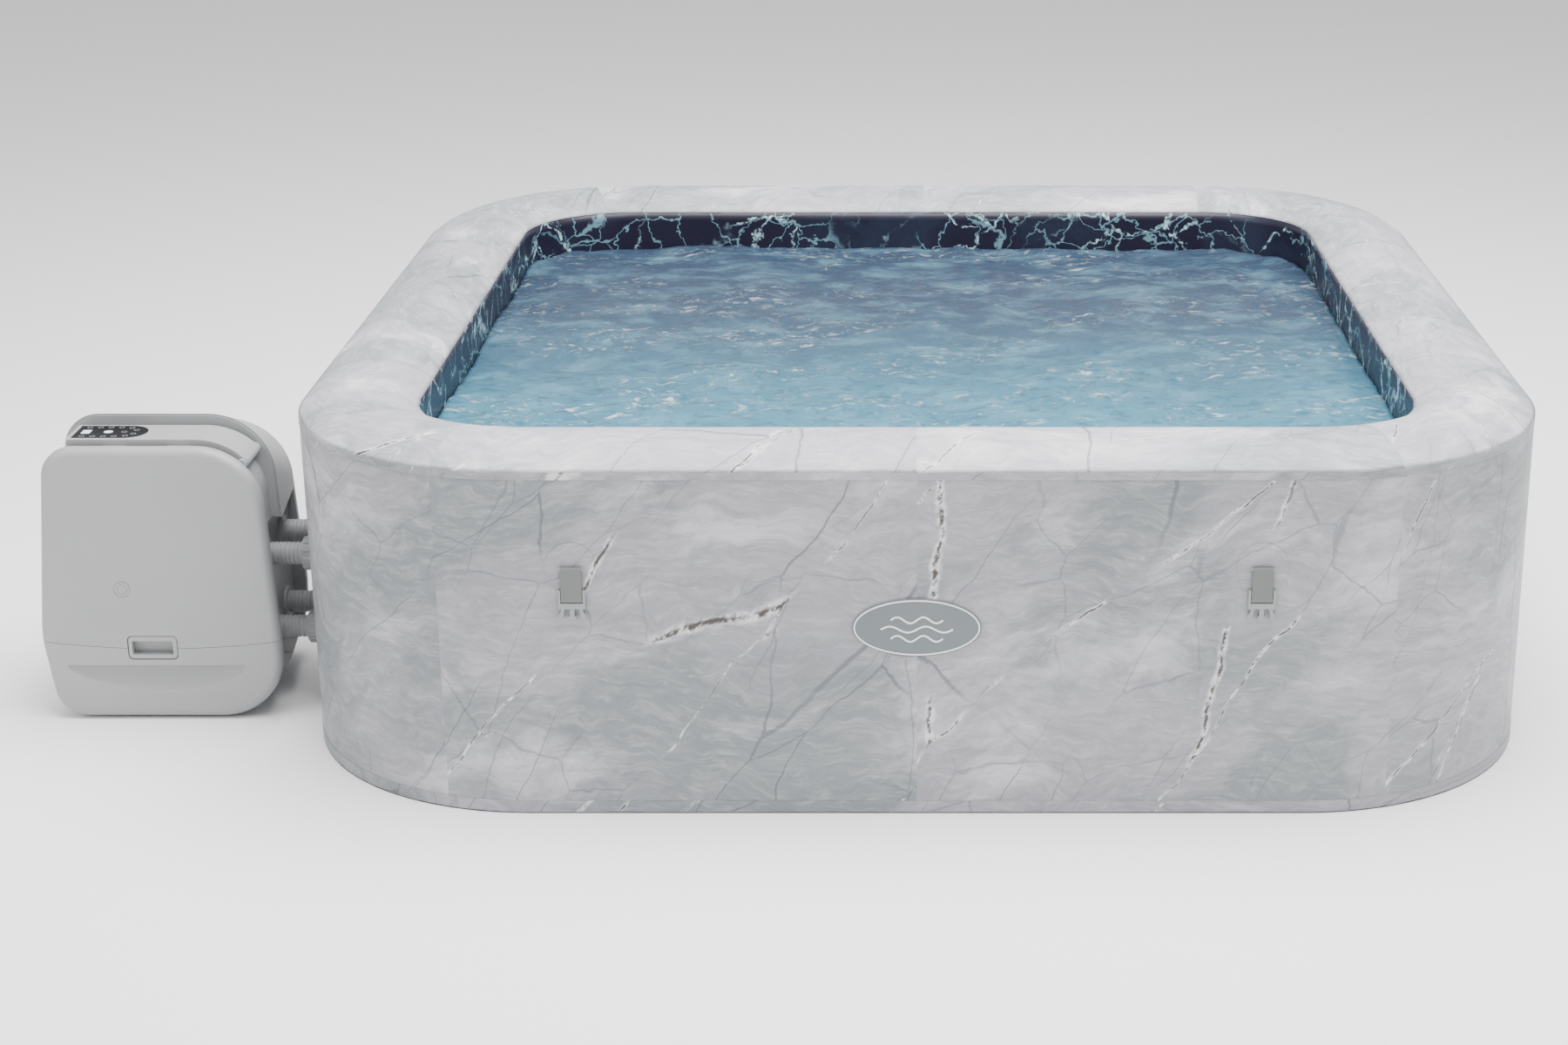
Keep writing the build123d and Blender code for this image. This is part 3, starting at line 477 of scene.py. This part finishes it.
@dataclass(frozen=True)
class Glow(Finish):
    """Pale print or lit display behind gloss; on print the emission is a painted glow."""

    colour: tuple[float, float, float] = (0.85, 0.87, 0.88)
    power: float = 0.25

    def paint(self, tree: Tree) -> None:
        """Builds the print."""
        at = tree.node("ShaderNodeTexCoord").outputs["Object"]
        spots = tree.noise(at, 500, 2)
        colour = tree.blend(spots * 0.15, self.colour, (0.6, 0.62, 0.64))
        # The colour is also emitted: a painted glow wherever this finish is print.
        tree.surface({"Base Color": colour, "Roughness": 0.3, "Emission Color": colour,
                      "Emission Strength": self.power})


WALL = MarblePrint("wall_print")
# The rim wears the wall's print 1.35 times brighter: painted light on the upward-facing rim.
RIM = MarblePrint("rim_print", lift=1.35, jump=3.7, seed=40.0)
PATCH = MarblePrint("patch_print", mapping=Mapping.PLACE)
BAND = MarblePrint("band_print", lift=0.97, mapping=Mapping.PLACE, seed=3.0)
BASIN = BasinPrint("basin_print")
BASIN_FLOOR = BasinPrint("basin_floor_print", mapping=Mapping.PLACE)
HOUSING = Moulded("housing_grey", (0.335, 0.337, 0.343), 0.38, 1100.0, 0.05)
FITTING = Moulded("fitting_grey", (0.30, 0.305, 0.315), 0.45)
HOSE = Moulded("hose_grey", (0.33, 0.335, 0.34), 0.5)
CLIP = Moulded("buckle_grey", (0.27, 0.275, 0.28), 0.28, 700.0, 0.05)
BADGE = Moulded("badge_grey", (0.150, 0.172, 0.182), 0.5, 500.0, 0.08)
BADGE_PRINT = Moulded("badge_white", (0.83, 0.84, 0.84), 0.45, 500.0, 0.05)
DARK = Moulded("dark_plastic", (0.035, 0.036, 0.04), 0.5)
INNER = Moulded("inner_white", (0.72, 0.72, 0.70), 0.4)
PAPER = Moulded("filter_paper", (0.78, 0.78, 0.74), 0.9, 400.0, 0.4)
RUBBER = Moulded("foot_rubber", (0.03, 0.03, 0.03), 0.8)
GLOSS = Moulded("touch_gloss", (0.004, 0.004, 0.005), 0.30, 300.0, 0.01, 0.12)
STEEL = Metal("pin_steel")
CAST = Metal("motor_metal", (0.42, 0.43, 0.44), 0.45)
STRAP = Webbing("webbing")
WATER = Water("bath_water")
# The main key's pale print glows with the display: painted glow on the key.
LIT = Glow("panel_light")
# The key marks' dark ink gives off a faint painted glow.
GLOWING_INK = Glow("panel_ink_glow", (0.20, 0.21, 0.22), 0.02)


# ---- Meshes ------------------------------------------------------------------------------------
@dataclass(frozen=True)
class Piece:
    """Where a new piece goes: its body and the CAD nodes it stands for, plus a slot name."""

    name: str
    slot: str
    body: str = TUB
    stands_for: tuple[str, ...] = ()


def face_outwards(mesh: bpy.types.Mesh) -> None:
    """Turns every face of a closed mesh outwards."""
    work = bmesh.new()
    work.from_mesh(mesh)
    bmesh.ops.recalc_face_normals(work, faces=work.faces)
    work.to_mesh(mesh)
    work.free()
    mesh.update()


def add_mesh(piece: Piece, points: Sequence[Sequence[float]], faces: Sequence[Sequence[int]],
             finish: Finish, smooth: bool = True,
             roll: Sequence[tuple[float, float]] | None = None) -> bpy.types.Object:
    """Adds a piece from points and faces.

    Args:
        piece: Name, body and slot.
        points: Corners in the row frame.
        faces: Corner numbers of each face.
        finish: Its finish.
        smooth: Whether it is shaded smooth.
        roll: Unrolled coordinates for each corner of each face, in order.

    Returns:
        The object.
    """
    mesh = bpy.data.meshes.new(piece.name)
    mesh.from_pydata(points, [], faces)
    mesh.polygons.foreach_set("use_smooth", [smooth] * len(faces))
    if roll is not None:
        layer = mesh.uv_layers.new(name="print")
        layer.data.foreach_set("uv", [value for pair in roll for value in pair])
    mesh.materials.append(finish.material())
    face_outwards(mesh)
    made = bpy.data.objects.new(piece.name, mesh)
    bpy.context.scene.collection.objects.link(made)
    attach(made, piece.body)
    if piece.stands_for:
        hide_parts(*piece.stands_for)
    log.info("%s on %s, %d faces", piece.name, piece.body, len(faces))
    return made


def dress(finish: Finish, names: Iterable[str]) -> None:
    """Gives carried-over CAD nodes a finish.

    Args:
        finish: The finish.
        names: The nodes.
    """
    for name in names:
        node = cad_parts[name]
        if not node.material_slots:
            node.data.materials.append(None)
        for place in node.material_slots:
            place.material = finish.material()
        log.info("%s wears %s", name, finish.name)


@dataclass(frozen=True)
class RoundedSquare:
    """A rounded square path in plan, whose distances count from the middle of the front wall."""

    half: float
    radius: float
    straight_steps: int = 56
    corner_steps: int = 28

    def walk(self) -> list[tuple[float, float, float, float, float]]:
        """Samples the path.

        Returns:
            For each sample the edge point x and y, the outward x and y, and the distance walked,
            which is 0 in the middle of the front wall and grows to the right. The last sample
            closes the path.
        """
        straight = self.half - self.radius
        samples: list[tuple[float, float, float, float, float]] = []
        walked = 0.0
        for side in range(4):
            turn = Matrix.Rotation(math.radians(180 + 90 * side), 2)
            for n in range(self.straight_steps):
                x = -straight + 2 * straight * n / self.straight_steps
                samples.append(self._sample(turn, x, -self.half, 0.0, -1.0, walked + x + straight))
            walked += 2 * straight
            for n in range(self.corner_steps):
                angle = math.pi / 2 * n / self.corner_steps
                out_x, out_y = math.sin(angle), -math.cos(angle)
                samples.append(self._sample(turn, straight + self.radius * out_x,
                                            -straight + self.radius * out_y, out_x, out_y,
                                            walked + self.radius * angle))
            walked += self.radius * math.pi / 2
        shift = walked / 2 + straight
        moved = [(x, y, a, b, s - shift) for x, y, a, b, s in samples]
        return moved + [(*samples[0][:4], walked - shift)]

    @staticmethod
    def _sample(turn: Matrix, x: float, y: float, out_x: float, out_y: float,
                walked: float) -> tuple[float, float, float, float, float]:
        """Turns one sample of the front side to its own side."""
        point, out = turn @ Vector((x, y)), turn @ Vector((out_x, out_y))
        return point.x, point.y, out.x, out.y, walked


def shell_round(piece: Piece, path: RoundedSquare, section: Sequence[tuple[float, float]],
                finish: Finish, push: Callable[[float, float], float],
                start: float = 0.0) -> bpy.types.Object:
    """Carries a closed section round a rounded square.

    Args:
        piece: Name, body and slot.
        path: The rounded square that the section's zero follows.
        section: Corners of the section as (outwards, height), closed by itself.
        finish: Its finish.
        push: Gives the outward shift at a distance walked and a height.
        start: The print's height at the section's first corner.

    Returns:
        The object.
    """
    walk = path.walk()
    around, across = len(walk) - 1, len(section)
    lengths = [start]
    for (a, b), (c, d) in zip(section, [*section[1:], section[0]]):
        lengths.append(lengths[-1] + math.hypot(c - a, d - b))
    points = []
    for x, y, out_x, out_y, walked in walk[:-1]:
        for out, height in section:
            reach = out + push(walked, height)
            points.append((x + out_x * reach, y + out_y * reach, height))
    faces, roll = [], []
    for i in range(around):
        for j in range(across):
            k, m = (i + 1) % around, (j + 1) % across
            faces.append((i * across + j, k * across + j, k * across + m, i * across + m))
            low, high = walk[i][4], walk[i + 1][4]
            below, above = lengths[j], lengths[j + 1]
            roll += [(low, below), (high, below), (high, above), (low, above)]
    return add_mesh(piece, points, faces, finish, roll=roll)


# ---- Tub ---------------------------------------------------------------------------------------
@dataclass
class TubSkins:
    """The inflated walls: outer wall, crowned rim, basin wall and the welded bands."""

    half: float = HALF_WIDTH
    radius: float = 0.450
    depth: float = 0.216
    seam: float = 0.630
    crown: float = 0.040
    skin: float = 0.0012
    beam: float = 0.150
    dent: float = 0.0011
    pucker: float = 0.0008
    pucker_reach: float = 0.03
    gather: float = 0.0012
    gather_reach: float = 0.010
    basin_gather: float = 0.0009
    wall_steps: int = 48
    rim_steps: int = 28
    basin_steps: int = 32

    def build(self) -> None:
        """Builds every skin and dresses the nodes that stay."""
        self.outer_wall()
        self.rim()
        self.basin_wall()
        dress(BASIN_FLOOR, ["floor_liner", "air_jet_channel"])
        dress(DARK, ["base_sheet"])
        dress(BAND, ["top_seam_band", "bottom_seam_band"])
        dress(PATCH, ["buckle_patches"])
        dress(INNER, ["wall_beams"])

    def dimple(self, walked: float, height: float) -> float:
        """Shallow dents where the inner webs pull the wall, and puckers beside the seams."""
        pull = math.cos(2 * math.pi * walked / self.beam) * 0.5 + 0.5
        edge = min(abs(height), abs(self.seam - height))
        near = math.exp(-edge / self.pucker_reach)
        fold = near * noise.noise(Vector((walked * 38, 0.0, height * 4)))
        bow = math.sin(math.pi * height / self.seam)
        return -self.dent * pull ** 6 * bow - self.pucker * abs(fold)

    def heights(self, steps: int) -> list[float]:
        """Heights from the base sheet to the seam in equal steps."""
        return [self.skin + (self.seam - self.skin) * n / steps for n in range(steps + 1)]

    def outer_wall(self) -> None:
        """The printed outer wall."""
        rows = self.heights(self.wall_steps)
        section = [(0.0, z) for z in rows] + [(-self.skin, z) for z in reversed(rows)]
        shell_round(Piece("outer_wall_print", "wall_print", stands_for=("outer_wall",)),
                    RoundedSquare(self.half, self.radius), section, WALL,
                    self.dimple, self.skin)

    def rim(self) -> None:
        """The crowned top panel between the two seams."""
        steps, chord = self.rim_steps, self.depth / 2
        arc = (chord ** 2 + self.crown ** 2) / (2 * self.crown)
        middle, swing = self.seam + self.crown - arc, math.asin(chord / arc)

        def row(radius: float) -> list[tuple[float, float]]:
            """Corners of the section along one face of the rim."""
            return [(-chord + radius * math.sin(swing * (1 - 2 * n / steps)),
                     middle + radius * math.cos(swing * (1 - 2 * n / steps)))
                    for n in range(steps + 1)]

        section = row(arc) + list(reversed(row(arc - self.skin)))
        shell_round(Piece("rim_panel", "rim_print", stands_for=("top_panel",)),
                    RoundedSquare(self.half, self.radius), section, RIM,
                    self.ripple)

    def ripple(self, walked: float, height: float) -> float:
        """Fine gathers of the rim close to its two seams."""
        near = math.exp(-(height - self.seam) / self.gather_reach)
        return -self.gather * near * abs(noise.noise(Vector((walked * 30, 3.0, 0.0))))

    def basin_wall(self) -> None:
        """The dark wall of the basin, gently gathered under the rim."""
        rows = self.heights(self.basin_steps)
        section = [(self.skin, z) for z in rows] + [(0.0, z) for z in reversed(rows)]
        shell_round(Piece("basin_wall_print", "basin_print", stands_for=("inner_wall",)),
                    RoundedSquare(self.half - self.depth, self.radius - self.depth), section, BASIN,
                    self.drape, self.skin)

    def drape(self, walked: float, height: float) -> float:
        """Loose gathers of the basin wall."""
        return self.basin_gather * abs(noise.noise(Vector((walked * 9, 0, height * 5))))


@dataclass
class BathWater:
    """Stirred water that fills the basin to just below the rim."""

    level: float = 0.542
    half: float = 0.9132
    radius: float = 0.2332
    body: float = 0.05
    rings: int = 120
    straight_steps: int = 70
    corner_steps: int = 24

    def build(self) -> None:
        """Builds the water as one closed body."""
        path = RoundedSquare(self.half, self.radius, self.straight_steps, self.corner_steps)
        walk = path.walk()[:-1]
        around = len(walk)
        points: list[tuple[float, float, float]] = [(0.0, 0.0, self.height(0.0, 0.0))]
        for ring in range(1, self.rings + 1):
            share = ring / self.rings
            points += [(x * share, y * share, self.height(x * share, y * share))
                       for x, y, *_ in walk]
        points += [(x, y, self.level - self.body) for x, y, *_ in walk]
        points.append((0.0, 0.0, self.level - self.body))
        last = len(points) - 1
        faces: list[tuple[int, ...]] = []
        for i in range(around):
            k = (i + 1) % around
            faces.append((0, 1 + i, 1 + k))
            for ring in range(self.rings):
                low, high = 1 + ring * around, 1 + (ring + 1) * around
                faces.append((low + i, high + i, high + k, low + k))
            faces.append((last, 1 + self.rings * around + k, 1 + self.rings * around + i))
        add_mesh(Piece("bath_water", "basin_print"), points, faces, WATER)

    def height(self, x: float, y: float) -> float:
        """Height of the stirred surface.

        Args:
            x: Place across.
            y: Place in depth.

        Returns:
            The height.
        """
        swell = noise.fractal(Vector((x * 3.2, y * 3.2, 1.0)), 0.9, 2.1, 4) * 0.011
        chop = noise.fractal(Vector((x * 13, y * 13, 5.0)), 0.8, 2.2, 4) * 0.0050
        return self.level + swell + chop


@dataclass
class CoverStraps:
    """Webbing loops with plug buckles, two on each wall, for holding a cover down."""

    offset: float = 0.590
    width: float = 0.036
    middle: float = 1.1354
    top: float = 0.4579
    bar: float = 0.402
    outer: float = 0.0041
    thick: float = 0.0016
    turn_steps: int = 12
    walls: tuple[str, ...] = ("front", "right", "back", "left")
    ends: tuple[str, ...] = ("left", "right")

    def build(self) -> None:
        """Builds each loop and dresses each buckle."""
        for side, wall in enumerate(self.walls):
            for end, sign in zip(self.ends, (-1, 1)):
                self.loop(side, wall, end, sign * self.offset)
                dress(CLIP, [f"buckle_{wall}_{end}"])

    def track(self) -> list[tuple[float, float, float, float]]:
        """The loop's path as (outwards, height, outward way, upward way) at mid thickness."""
        reach = self.outer - self.thick / 2
        track = []
        for centre, start in ((self.top, 0.0), (self.bar, math.pi)):
            for n in range(self.turn_steps + 1):
                angle = start + math.pi * n / self.turn_steps
                out, up = math.cos(angle), math.sin(angle)
                track.append((reach * out, centre + reach * up, out, up))
        return track

    def loop(self, side: int, wall: str, end: str, offset: float) -> None:
        """Builds one webbing loop with rounded selvedges.

        Args:
            side: 0 front, 1 right, 2 back, 3 left.
            wall: The wall's name.
            end: Which of the wall's two loops.
            offset: Distance from the wall's middle.
        """
        turn = Matrix.Rotation(math.radians(90 * side), 3, "Z")
        edge, half = self.thick / 2, self.width / 2
        section = [(half - edge * (1 - math.cos(a)), edge * math.sin(a))
                   for a in (math.radians(d) for d in (90, 45, 0, -45, -90))]
        section += [(-x, -z) for x, z in section]
        points, faces = [], []
        track = self.track()
        for out, height, way_out, way_up in track:
            for x, lift in section:
                point = Vector((offset + x, -self.middle - out - lift * way_out,
                                height + lift * way_up))
                points.append(tuple(turn @ point))
        count, rows = len(section), len(track)
        for i in range(rows):
            for j in range(count):
                k, m = (i + 1) % rows, (j + 1) % count
                faces.append((i * count + j, i * count + m, k * count + m, k * count + j))
        node = f"strap_{wall}_{end}"
        piece = Piece(f"webbing_{wall}_{end}", "webbing", f"cover_{node}", (node,))
        add_mesh(piece, points, faces, STRAP)


@dataclass
class Badge:
    """Oval badge on the front wall: a raised border line and a plain wave mark."""

    width: float = 0.222
    height: float = 0.106
    centre: float = 0.351
    face: float = -1.1331
    rise: float = 0.0007
    sink: float = 0.0004
    inset: float = 0.0035
    border_line: float = 0.0024
    wave_line: float = 0.0030
    wave_rise: float = 0.0055
    border_steps: int = 96
    wave_steps: int = 60
    waves: tuple[tuple[float, float], ...] = ((0.014, 0.045), (-0.003, 0.062), (-0.020, 0.045))

    def build(self) -> None:
        """Dresses the plate and lays the white lines on it."""
        dress(BADGE, ["badge_plate"])
        angles = [math.tau * n / self.border_steps for n in range(self.border_steps)]
        ring = [((self.width / 2 - self.inset) * math.cos(a),
                 (self.height / 2 - self.inset) * math.sin(a)) for a in angles]
        self.line("badge_border", ring, self.border_line, True)
        steps = self.wave_steps
        for n, (lift, reach) in enumerate(self.waves):
            wave = [(-reach + 2 * reach * k / steps,
                     lift + self.wave_rise * math.sin(math.tau * 2 * k / steps))
                    for k in range(steps + 1)]
            self.line(f"badge_wave_{n}", wave, self.wave_line, False)

    def line(self, name: str, track: list[tuple[float, float]], wide: float,
             closed: bool) -> None:
        """Lays a raised line along a track on the badge.

        Args:
            name: The piece's name.
            track: Points as (across, up) from the badge's middle.
            wide: Width of the line.
            closed: Whether the line joins its own start.
        """
        count = len(track)
        points: list[tuple[float, float, float]] = []
        for n, (x, z) in enumerate(track):
            before = track[(n - 1) % count] if closed or n else track[0]
            after = track[(n + 1) % count] if closed or n < count - 1 else track[-1]
            way = Vector((after[0] - before[0], after[1] - before[1])).normalized()
            side = (-way.y * wide / 2, way.x * wide / 2)
            for sign in (1, -1):
                for y in (self.face - self.rise, self.face + self.sink):
                    points.append((x + sign * side[0], y, self.centre + z + sign * side[1]))
        faces: list[tuple[int, ...]] = []
        for n in range(count if closed else count - 1):
            a, b = 4 * n, 4 * ((n + 1) % count)
            faces += [(a, a + 2, b + 2, b), (a + 1, b + 1, b + 3, a + 3), (a, b, b + 1, a + 1),
                      (a + 2, a + 3, b + 3, b + 2)]
        if not closed:
            end = 4 * (count - 1)
            faces += [(0, 1, 3, 2), (end, end + 2, end + 3, end + 1)]
        add_mesh(Piece(name, "badge_grey"), points, faces, BADGE_PRINT, smooth=False)


# ---- Pump unit ---------------------------------------------------------------------------------
@dataclass
class PumpUnit:
    """Housing, couplings and insides of the pump unit, which keep their CAD shapes."""

    def build(self) -> None:
        """Dresses every node."""
        dress(HOUSING, ["pump_chassis", "pump_port_box", "pump_back_cover", "pump_lower_front",
                        "front_hatch", "hatch_latch", "front_button", "control_arm"])
        dress(FITTING, ["jet_nozzles", "valve_bodies", "drain_lid", "air_valve_lid", "wall_pipes",
                        "wall_flanges", "coupling_nuts", "basin_screens", "filter_lid"])
        dress(HOSE, ["corrugated_hoses"])
        dress(GLOSS, ["touch_panel"])
        dress(DARK, ["pump_base_tray", "massage_pump_volute", "blower_case", "control_box",
                     "cable_gland"])
        dress(RUBBER, ["pump_feet"])
        dress(INNER, ["filter_canister", "massage_pump_impeller", "blower_fan"])
        dress(PAPER, ["filter_cartridge"])
        dress(CAST, ["massage_pump_motor"])
        dress(STEEL, ["heater_tube", "arm_hinge_pin", "hatch_hinge_pins"])


@dataclass
class TouchPanel:
    """Display, main key and plain key marks on the arm's touch panel."""

    lift: float = 0.0003
    thick: float = 0.0005
    display_at: float = 0.019
    display_size: tuple[float, float] = (0.016, 0.022)
    main_key_at: float = 0.060
    main_key_size: tuple[float, float] = (0.0085, 0.0080)
    mark_radius: float = 0.0052
    mark_hole: float = 0.76
    mark_steps: int = 24
    oval_steps: int = 40

    def build(self) -> None:
        """Lays the display and the marks on the panel."""
        low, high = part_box("touch_panel")
        top, middle = high.z, (low.y + high.y) / 2
        display = self.box_shape(low.x + self.display_at, middle, *self.display_size)
        self.patch("display", display, top, LIT)
        main_key = self.oval(low.x + self.main_key_at, middle, *self.main_key_size)
        self.patch("main_key", main_key, top, LIT)
        spots = [(low.x + 0.018 + 0.020 * n, middle + side * (0.028 - 0.0035 * max(n - 3, 0)))
                 for n in range(5) for side in (-1, 1)]
        spots += [(low.x + 0.090, middle), (low.x + 0.110, middle - 0.012),
                  (low.x + 0.110, middle + 0.012)]
        for n, (x, y) in enumerate(spots):
            self.ring(f"key_mark_{n}", x, y, top)

    @staticmethod
    def box_shape(x: float, y: float, wide: float, deep: float) -> list[tuple[float, float]]:
        """Corners of a rectangle."""
        return [(x - wide / 2, y - deep / 2), (x + wide / 2, y - deep / 2),
                (x + wide / 2, y + deep / 2), (x - wide / 2, y + deep / 2)]

    def oval(self, x: float, y: float, wide: float, deep: float) -> list[tuple[float, float]]:
        """Points round an ellipse with these half sizes."""
        angles = [math.tau * n / self.oval_steps for n in range(self.oval_steps)]
        return [(x + wide * math.cos(a), y + deep * math.sin(a)) for a in angles]

    def patch(self, name: str, shape: list[tuple[float, float]], top: float,
              finish: Finish) -> None:
        """Lays a thin flat piece on the panel.

        Args:
            name: The piece's name.
            shape: Its outline.
            top: Height of the panel.
            finish: Its finish.
        """
        low, high = top + self.lift - self.thick, top + self.lift
        points = [(x, y, high) for x, y in shape] + [(x, y, low) for x, y in shape]
        count = len(shape)
        faces: list[tuple[int, ...]] = [tuple(range(count)),
                                        tuple(reversed(range(count, 2 * count)))]
        faces += [(n, n + count, (n + 1) % count + count, (n + 1) % count) for n in range(count)]
        add_mesh(Piece(name, "touch_gloss", "control_arm"), points, faces, finish, smooth=False)

    def ring(self, name: str, x: float, y: float, top: float) -> None:
        """Lays a thin ring on the panel as a key mark.

        Args:
            name: The piece's name.
            x: The middle across.
            y: The middle in depth.
            top: Height of the panel.
        """
        low, high, count = top + self.lift - self.thick, top + self.lift, self.mark_steps
        radius, hole = self.mark_radius, self.mark_radius * self.mark_hole
        points = []
        for n in range(count):
            c, s = math.cos(math.tau * n / count), math.sin(math.tau * n / count)
            for r, z in ((radius, high), (hole, high), (hole, low), (radius, low)):
                points.append((x + r * c, y + r * s, z))
        faces = []
        for n in range(count):
            a, b = 4 * n, 4 * ((n + 1) % count)
            faces += [(a + j, b + j, b + (j + 1) % 4, a + (j + 1) % 4) for j in range(4)]
        add_mesh(Piece(name, "touch_gloss", "control_arm"), points, faces, GLOWING_INK, smooth=False)


# ---- Studio ------------------------------------------------------------------------------------
@dataclass(frozen=True)
class Floor(Finish):
    """Pale studio floor."""

    def paint(self, tree: Tree) -> None:
        """Builds the floor."""
        tree.surface({"Base Color": (0.97, 0.97, 0.97, 1.0), "Roughness": 0.9,
                      "Specular IOR Level": 0.1})


@dataclass
class Studio:
    """Floor, lights and camera."""

    distance: float = 5.352
    height: float = 1.996
    pitch: float = 19.01
    focal: float = 60.5
    shift: float = -0.0847
    sensor: float = 36.0
    world_light: float = 0.80
    floor_reach: float = 40.0
    floor_height: float = -0.0004

    def build(self) -> None:
        """Sets up the studio."""
        self.floor()
        self.light("top", (0.5, -0.7, 4.6), (0.0, -0.3, 0.0), 4.6, 720.0)
        self.light("left", (-4.6, -3.4, 3.2), (-0.6, -0.6, 0.3), 2.6, 70.0)
        world = bpy.data.worlds.new("studio")
        bpy.context.scene.world = world
        world.use_nodes = True
        back = world.node_tree.nodes["Background"]
        back.inputs[0].default_value = (1.0, 1.0, 1.0, 1.0)
        back.inputs[1].default_value = self.world_light
        self.camera()

    def floor(self) -> None:
        """A wide plane just under the tub."""
        reach, z = self.floor_reach, self.floor_height
        mesh = bpy.data.meshes.new("studio_floor")
        corners = [(-reach, -reach, z), (reach, -reach, z), (reach, reach, z), (-reach, reach, z)]
        mesh.from_pydata(corners, [], [(0, 1, 2, 3)])
        mesh.materials.append(Floor("studio_floor").material())
        made = bpy.data.objects.new("studio_floor", mesh)
        bpy.context.scene.collection.objects.link(made)

    @staticmethod
    def light(name: str, at: Sequence[float], aim: Sequence[float], size: float,
              power: float) -> None:
        """Adds a soft square light.

        Args:
            name: Its name.
            at: Its place.
            aim: The point it looks at.
            size: Its side.
            power: Its power in watts.
        """
        lamp = bpy.data.lights.new(name, "AREA")
        lamp.shape, lamp.size, lamp.energy = "SQUARE", size, power
        made = bpy.data.objects.new(name, lamp)
        bpy.context.scene.collection.objects.link(made)
        made.location = at
        made.rotation_euler = (Vector(aim) - Vector(at)).to_track_quat("-Z", "Y").to_euler()

    def camera(self) -> None:
        """Adds the camera."""
        lens = bpy.data.cameras.new("camera")
        lens.lens, lens.sensor_width, lens.shift_x = self.focal, self.sensor, self.shift
        made = bpy.data.objects.new("camera", lens)
        bpy.context.scene.collection.objects.link(made)
        made.location = (0.0, -self.distance, self.height)
        made.rotation_euler = (math.radians(90 - self.pitch), 0.0, 0.0)
        bpy.context.scene.camera = made


def main() -> None:
    """Builds every sub-assembly in order."""
    logging.basicConfig(level=logging.INFO, format="%(name)s: %(message)s")
    for assembly in (Studio(), TubSkins(), BathWater(), CoverStraps(), Badge(), PumpUnit(),
                     TouchPanel()):
        log.info("building %s", type(assembly).__name__)
        assembly.build()


if __name__ == "__main__":
    main()
